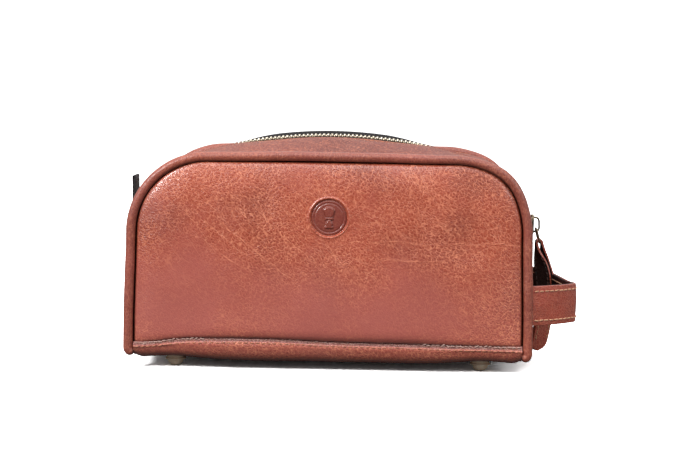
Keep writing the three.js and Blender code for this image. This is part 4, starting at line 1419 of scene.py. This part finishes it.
slider = {
    "plate": 1.5 * mm, "plateBevel": 0.4 * mm, "cheek": 2.6 * mm, "cheekBevel": 0.25 * mm, "cheekIn": 3.5 * mm,
    "wire": 0.62 * mm, "bridgeEnd": 0.55 * mm, "bridgeFlat": 1.7,
    # right half of the plate from tail to shoulders, and one cheek, as y and z in millimetres about the middle
    "plateHalf": [(3.1, -5.7), (3.3, -3.0), (4.1, 0.5), (4.2, 3.2), (3.5, 4.9), (2.2, 5.7), (0.9, 5.9)],
    "cheekOutline": [(3.0, -5.6), (3.7, -5.2), (4.5, 0.5), (4.4, 3.4), (3.7, 4.6), (3.4, 0.4)],
}


def outlinePlate(name, outline, thickness, material, bevel):
    # a plate cut to an outline in Y-Z and standing out along X
    body = bmesh.new()
    face = body.faces.new([body.verts.new((0, y, z)) for y, z in outline])
    grown = bmesh.ops.extrude_face_region(body, geom=[face])
    moved = [item for item in grown["geom"] if isinstance(item, bmesh.types.BMVert)]
    bmesh.ops.translate(body, verts=moved, vec=(thickness, 0, 0))
    bmesh.ops.recalc_face_normals(body, faces=body.faces)
    mesh = bpy.data.meshes.new(name)
    body.to_mesh(mesh)
    body.free()
    piece = newPiece(name, mesh, material)
    softenEdges(piece, bevel, 3, 40)
    return applied(piece)


def makeSlider():
    centreZ = (sliderLow.z + sliderHigh.z) / 2
    right = slider["plateHalf"]
    ring = [(-right[0][0], right[0][1])] + right + [(-y, z) for y, z in right[1:]][::-1]
    outline = [(y * mm, z * mm) for y, z in ring]
    plate = outlinePlate("slider_plate", outline, slider["plate"], skins["zip"], slider["plateBevel"])
    plate.data.transform(Matrix.Translation((sliderHigh.x - slider["plate"], 0, centreZ)))
    cheeks = []
    for side, name in ((-1, "slider_cheek_left"), (1, "slider_cheek_right")):
        outline = [(side * y * mm, z * mm) for y, z in slider["cheekOutline"]]
        cheek = outlinePlate(name, outline, slider["cheek"], skins["zip"], slider["cheekBevel"])
        cheek.data.transform(Matrix.Translation((sliderHigh.x - slider["cheekIn"], 0, centreZ)))
        cheeks.append(cheek)
    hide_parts("slider_body")
    for piece in [plate] + cheeks:
        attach(piece, "zip_slider")
    # the bridge: a bent strip that stands on the plate
    xBase, xOut = sliderHigh.x - 0.2 * mm, bridgeHigh.x - 0.5 * mm
    lowZ, highZ = bridgeLow.z + slider["bridgeEnd"], bridgeHigh.z - slider["bridgeEnd"]
    reach = xOut - xBase
    path = [
        (xBase, 0, lowZ), (xBase + reach * 0.5, 0, lowZ), (xBase + reach * 0.86, 0, lowZ + 0.7 * mm),
        (xOut, 0, lowZ + 2.0 * mm), (xOut, 0, (lowZ + highZ) / 2), (xOut - 0.1 * mm, 0, highZ - 2.0 * mm),
        (xBase + reach * 0.8, 0, highZ - 0.6 * mm), (xBase + reach * 0.45, 0, highZ), (xBase, 0, highZ),
    ]
    bridge = tubePiece("slider_crown", splinePoints(path, 40), slider["wire"], skins["zip"], sides=12)
    flat = np.array([v.co for v in bridge.data.vertices])
    flat[:, 1] *= slider["bridgeFlat"]
    bridge.data.vertices.foreach_set("co", flat.ravel())
    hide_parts("slider_bridge")
    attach(bridge, "zip_slider")


link = {"wire": 0.55 * mm, "corner": 1.6 * mm}


def makeLink():
    # a wire ring with round corners that leans out over the slider's tail
    wire, corner = link["wire"], link["corner"]
    half = linkHigh.y - wire
    topZ, bottomZ = linkHigh.z - wire, linkLow.z + wire
    topX, bottomX = linkLow.x + wire, linkHigh.x - wire
    points = []
    for quarter, (sideY, sideZ) in enumerate(((1, 1), (-1, 1), (-1, -1), (1, -1))):
        for share in np.linspace(0, 1, 8):
            angle = (quarter + share) * math.pi / 2
            y = sideY * (half - corner) + corner * math.cos(angle)
            z = (topZ + bottomZ) / 2 + sideZ * ((topZ - bottomZ) / 2 - corner) + corner * math.sin(angle)
            x = topX + (bottomX - topX) * (topZ - z) / (topZ - bottomZ)
            points.append((x, y, z))
    piece = tubePiece("wire_link", points, wire, skins["zip"], sides=12, closed=True, upHint=(1, 0, 0.2))
    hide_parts("pull_link")
    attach(piece, "zip_link")


pull = {
    "thickness": 1.3 * mm, "width": 5.6 * mm, "bulge": 4.2 * mm, "tipZ": 5.6 * mm, "tipRound": 5.5 * mm,
    "topZ": linkLow.z + link["wire"], "fold": 0.95 * mm, "gap": 0.12 * mm, "spread": 1.6 * mm, "narrow": 0.34,
    "turnOut": 48, "turnBack": 56, "rows": 44, "foldRows": 11, "columns": 13,
}


def pullShare(z):
    # 0 at the fold over the link, 1 at the tip
    return np.clip((pull["topZ"] - z) / (pull["topZ"] - pull["tipZ"]), 0, 1)


def pullSpine(z):
    # middle line of the hanging strip: out over the strap loop's inside, back in at the tip
    return linkHigh.x - link["wire"] + pull["bulge"] * np.sin(math.pi * pullShare(z) ** 1.15)


def pullGap(z):
    # half of the room between the two layers, wide at the fold and again above the strap
    top = pull["topZ"]
    return pull["gap"] + (pull["fold"] - pull["gap"]) * float(smooth(top - 16 * mm, top - 4 * mm, z))


def pullWidth(z):
    top = pull["topZ"]
    tip = np.clip((z - pull["tipZ"]) / pull["tipRound"], 0, 1)
    rounded = math.sqrt(max(0.0, 1 - (1 - tip) ** 2)) if tip < 1 else 1.0
    narrow = 1 - pull["narrow"] * float(smooth(top - 20 * mm, top - 5 * mm, z))
    return pull["width"] * max(rounded, 0.04) * narrow


def pullGrid(drop, columns):
    # rows across the strip, down its outer layer from the tip, over the fold and back along its inner layer
    top = pull["topZ"]

    def row(x, z):
        # the strip twists: its inner face shows above the strap, its outer face below
        share = float(pullShare(z))
        turnOut = pull["turnOut"] * smooth(0.0, 0.2, share) * (1 - smooth(0.4, 0.6, share))
        angle = math.radians(turnOut - pull["turnBack"] * smooth(0.5, 0.76, share))
        spine, width = pullSpine(z), pullWidth(z)
        dx = x - spine
        places = []
        for c in columns:
            y = width * c
            turnedX = spine + dx * math.cos(angle) - y * math.sin(angle)
            places.append((turnedX, dx * math.sin(angle) + y * math.cos(angle), z))
        return places

    tails = np.linspace(pull["tipZ"], top - 4 * mm, pull["rows"])
    rows = []
    for z in tails:
        bow = pull["spread"] * float(np.exp(-(((pullShare(z) - 0.3) / 0.16) ** 2)))
        rows.append(row(pullSpine(z) + (pullGap(z) + bow) + drop, z))
    reach = pull["fold"] + drop
    for angle in np.linspace(0, math.pi, pull["foldRows"]):
        rows.append(row(pullSpine(top) + reach * math.cos(angle), top + reach * math.sin(angle)))
    for z in tails[::-1]:
        rows.append(row(pullSpine(z) - pullGap(z) - drop, z))
    return np.array(rows)


def makePull():
    columns = np.linspace(-1, 1, pull["columns"])
    outer = pullGrid(pull["thickness"], columns)
    inner = pullGrid(0.0, columns)
    rows, count, _ = outer.shape
    vertices = np.concatenate([outer.reshape(-1, 3), inner.reshape(-1, 3)]).tolist()
    offset = rows * count
    faces = gridFaces(rows, count)
    faces += [tuple(i + offset for i in face[::-1]) for face in gridFaces(rows, count)]
    rims = [(r * count + c, (r + 1) * count + c) for r in range(rows - 1) for c in (0, count - 1)]
    rims += [(r * count + c, r * count + c + 1) for r in (0, rows - 1) for c in range(count - 1)]
    faces += [(a, b, offset + b, offset + a) for a, b in rims]
    mesh = bpy.data.meshes.new("pull_strip")
    mesh.from_pydata(vertices, [], faces)
    # the inner layer's face and all that looks inwards takes the near-black leather: the flesh side, darkened as
    # painted shade between the layers
    outside = (rows - 1) * (count - 1)
    outerRows = pull["rows"] + pull["foldRows"] - 4
    dark = [k >= outside or k // (count - 1) > outerRows for k in range(2 * outside)]
    dark += [False] * (len(faces) - 2 * outside)
    piece = newPiece("pull_strip", mesh, skins["strap"], skins["fleshAndShade"])
    mesh.polygons.foreach_set("material_index", np.array(dark, int))
    faceOut(piece)
    softenEdges(piece, 0.3 * mm, 2, 50)
    applied(piece)
    piece.data.polygons.foreach_set("use_smooth", [True] * len(piece.data.polygons))
    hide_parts("leather_pull")
    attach(piece, "zip_pull")
    lines = [pullGrid(pull["thickness"] + 0.12 * mm, [share])[:, 0] for share in (-0.72, 0.72)]
    for layer, part, thread in (("outer", slice(6, 40), "thread"), ("bag_side", slice(-40, -6), "blackThread")):
        name, paths = f"pull_stitches_{layer}", [line[part] for line in lines]
        stitches = setAlong(name, paths, pullStitch, skins[thread], 2.9 * mm, jitter=0.12, seed=31)
        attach(stitches, "zip_pull")


def makeStop():
    low, high = boxOf("zip_top_stop")
    outline = [(-2.7 * mm, -1.2 * mm), (2.7 * mm, -1.2 * mm), (2.7 * mm, 1.2 * mm), (-2.7 * mm, 1.2 * mm)]
    stop = outlinePlate("zip_stop", outline, 1.5 * mm, skins["zip"], 0.5 * mm)
    stop.data.transform(Matrix.Translation((low.x + 0.6 * mm, 0, (low.z + high.z) / 2)))
    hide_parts("zip_top_stop")
    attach(stop, "bag")


grabTab = {
    "wall": 0.95 * mm, "shift": 1.7 * mm, "sway": 0.35 * mm, "lean": 0.5 * mm,
    "stitchUp": 2.2 * mm, "stitchStep": 6.5 * mm, "stitchPitch": 2.4 * mm,
}


def makeGrabTab():
    # a doubled length of zip tape with a loop at its top
    low, high = boxOf("zip_grab_tab")
    outX, inX = low.x + grabTab["shift"], high.x + grabTab["shift"]
    mid = (outX + inX) / 2
    loop = (inX - outX) / 2

    def sway(z):
        lean = grabTab["lean"] * (high.z - z) / (high.z - low.z)
        return grabTab["sway"] * math.sin((z - low.z) * 90) - lean

    heights = np.linspace(low.z, high.z - loop, 24)
    line = [(outX + sway(z), z) for z in heights]
    for angle in np.linspace(0, math.pi, 8):
        line.append((mid - loop * math.cos(angle) + sway(high.z), high.z - loop + loop * math.sin(angle)))
    line += [(inX + sway(z), z) for z in heights[::-1]]
    y = np.linspace(low.y + 0.3 * mm, high.y - 0.3 * mm, 14)
    grid = np.array([[(x, v, z) for v in y] for x, z in line])
    tab = sheetPiece("grab_tab_tape", grid, skins["tape"], middle=Vector((mid, 0, (low.z + high.z) / 2)))
    thicken(tab, grabTab["wall"])
    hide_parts("zip_grab_tab")
    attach(tab, "bag")
    across = np.linspace(low.y + 1.2 * mm, high.y - 1.2 * mm, 20)
    rows = []
    for k in (0, 1):
        z = low.z + grabTab["stitchUp"] + grabTab["stitchStep"] * k
        rows.append(np.array([(outX - 0.35 * mm, v, z) for v in across]))
    pitch = grabTab["stitchPitch"]
    stitches = setAlong("grab_tab_stitches", rows, pullStitch, skins["blackThread"], pitch, (1, 0, 0), 0.05, 5)
    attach(stitches, "bag")


pullStitch = stitchShape("pull stitch", 2.3 * mm, 0.34 * mm)
makeSlider()
makeLink()
makePull()
makeStop()
makeGrabTab()
print("slider, link, pull and tab made")


# Stitching along the zip and the piping
def makeGussetStitches(side):
    inset = gusset["zipEdge"] + gusset["seamIn"]
    paths = [
        ridgePath(side * inset, -0.25 * mm, hingeZ + 1 * mm),
        ridgePath(side * (gussetEdgeY - 3.6 * mm), 0.12 * mm, hingeZ + 1 * mm),
    ]
    name = f"{prefixOf(side)}_gusset_stitches"
    rows = setAlong(name, paths, stitchObject, skins["darkThread"], 3.1 * mm, jitter=0.06, seed=41)
    bendWith(rows)


for side in (-1, 1):
    makeGussetStitches(side)


# Lining
lining = {
    "thickness": 0.7 * mm, "inset": 3.4 * mm, "behind": 3.2 * mm, "edgeIn": 4 * mm, "tubCorner": 9 * mm,
    "tubPleat": 1.2 * mm, "overPleat": 1.0 * mm,
}


def makeTub():
    low, high = boxOf("lining_tub")
    corner = lining["tubCorner"]
    middleX = (low.x + high.x) / 2
    halfX, halfY = (high.x - low.x) / 2, (high.y - low.y) / 2
    ring = []
    for cx, cy, start in ((1, 1, 0), (-1, 1, 1), (-1, -1, 2), (1, -1, 3)):
        for a in np.linspace(start, start + 1, 10) * math.pi / 2:
            x = cx * (halfX - corner) + corner * math.cos(a)
            ring.append((x, cy * (halfY - corner) + corner * math.sin(a)))
    ring = np.array(ring + [ring[0]])
    dense = []
    for a, b in zip(ring[:-1], ring[1:]):
        steps = max(1, int(np.hypot(*(b - a)) / (5 * mm)))
        dense += [a + (b - a) * k / steps for k in range(steps)]
    ring = np.array(dense + [dense[0]])
    # rows spread over the floor, turn up and climb the walls: share of the outline and height
    levels = [(0.0, 0.0), (0.35, 0.0), (0.7, 0.0), (0.9, 0.0), (0.97, 0.02), (1.0, 0.06)]
    rows = [(share, low.z + height * (high.z - low.z)) for share, height in levels]
    rows += [(1.0, z) for z in np.linspace(low.z + 6 * mm, high.z + 1.0 * mm, 14)]
    grid = []
    for share, z in rows:
        points = ring * share
        grid.append(np.column_stack([points[:, 0] + middleX, points[:, 1], np.full(len(points), z)]))
    grid = np.array(grid)
    centre = np.array([middleX, 0, 50 * mm])
    pulled = ripple(grid, 26, lining["tubPleat"], 120) + ripple(grid, 70, 0.5 * mm, 122)
    inward = centre - grid
    inward /= np.maximum(np.linalg.norm(inward, axis=2), 1e-6)[..., None]
    grid = grid + inward * np.abs(pulled)[..., None]
    piece = sheetPiece("lining_lower", grid, skins["lining"], middle=Vector(centre))
    thicken(piece, lining["thickness"])
    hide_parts("lining_tub")
    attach(piece, "bag")


def makeUpperLining(side):
    prefix = prefixOf(side)
    y = np.linspace(11.5 * mm, 47.4 * mm, 16)
    grid = gussetGrid(side * y, -lining["inset"], hingeZ - 3 * mm, (3, 26, 70))
    pleats = np.abs(ripple(grid, 60, lining["overPleat"], 130 + side))
    grid = grid - archNormals(grid, 50 * mm) * pleats[..., None]
    over = sheetPiece(f"{prefix}_lining_over", grid, skins["lining"])
    thicken(over, lining["thickness"])
    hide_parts(f"{prefix}_gusset_lining")
    half, top, radius = [bag[key] - lining["edgeIn"] for key in ("pipingHalf", "pipingTop", "pipingCorner")]
    zs = hingeZ - 2 * mm + (top - 0.3 * mm - hingeZ + 2 * mm) * np.sin(np.linspace(0, math.pi / 2, 22))
    rise = np.clip(zs - (top - radius), 0, radius)
    rowHalf = half - radius + np.sqrt(np.clip(radius**2 - rise**2, 0, None))
    xs = midX + np.linspace(-1, 1, 70)[None, :] * rowHalf[:, None]
    zz = np.broadcast_to(zs[:, None], xs.shape)
    folds = ripple(np.stack([xs, xs * 0, zz], axis=2), 30, lining["overPleat"], 140 + side)
    yy = np.full_like(xs, bag["pipingY"] - lining["behind"]) - np.abs(folds)
    behind = sheetPiece(f"{prefix}_lining_behind", np.stack([xs, side * yy, zz], axis=2), skins["lining"])
    thicken(behind, lining["thickness"])
    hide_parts(f"{prefix}_panel_lining")
    for piece in (over, behind):
        bendWith(piece)


makeTub()
for side in (-1, 1):
    makeUpperLining(side)
print("lining made")
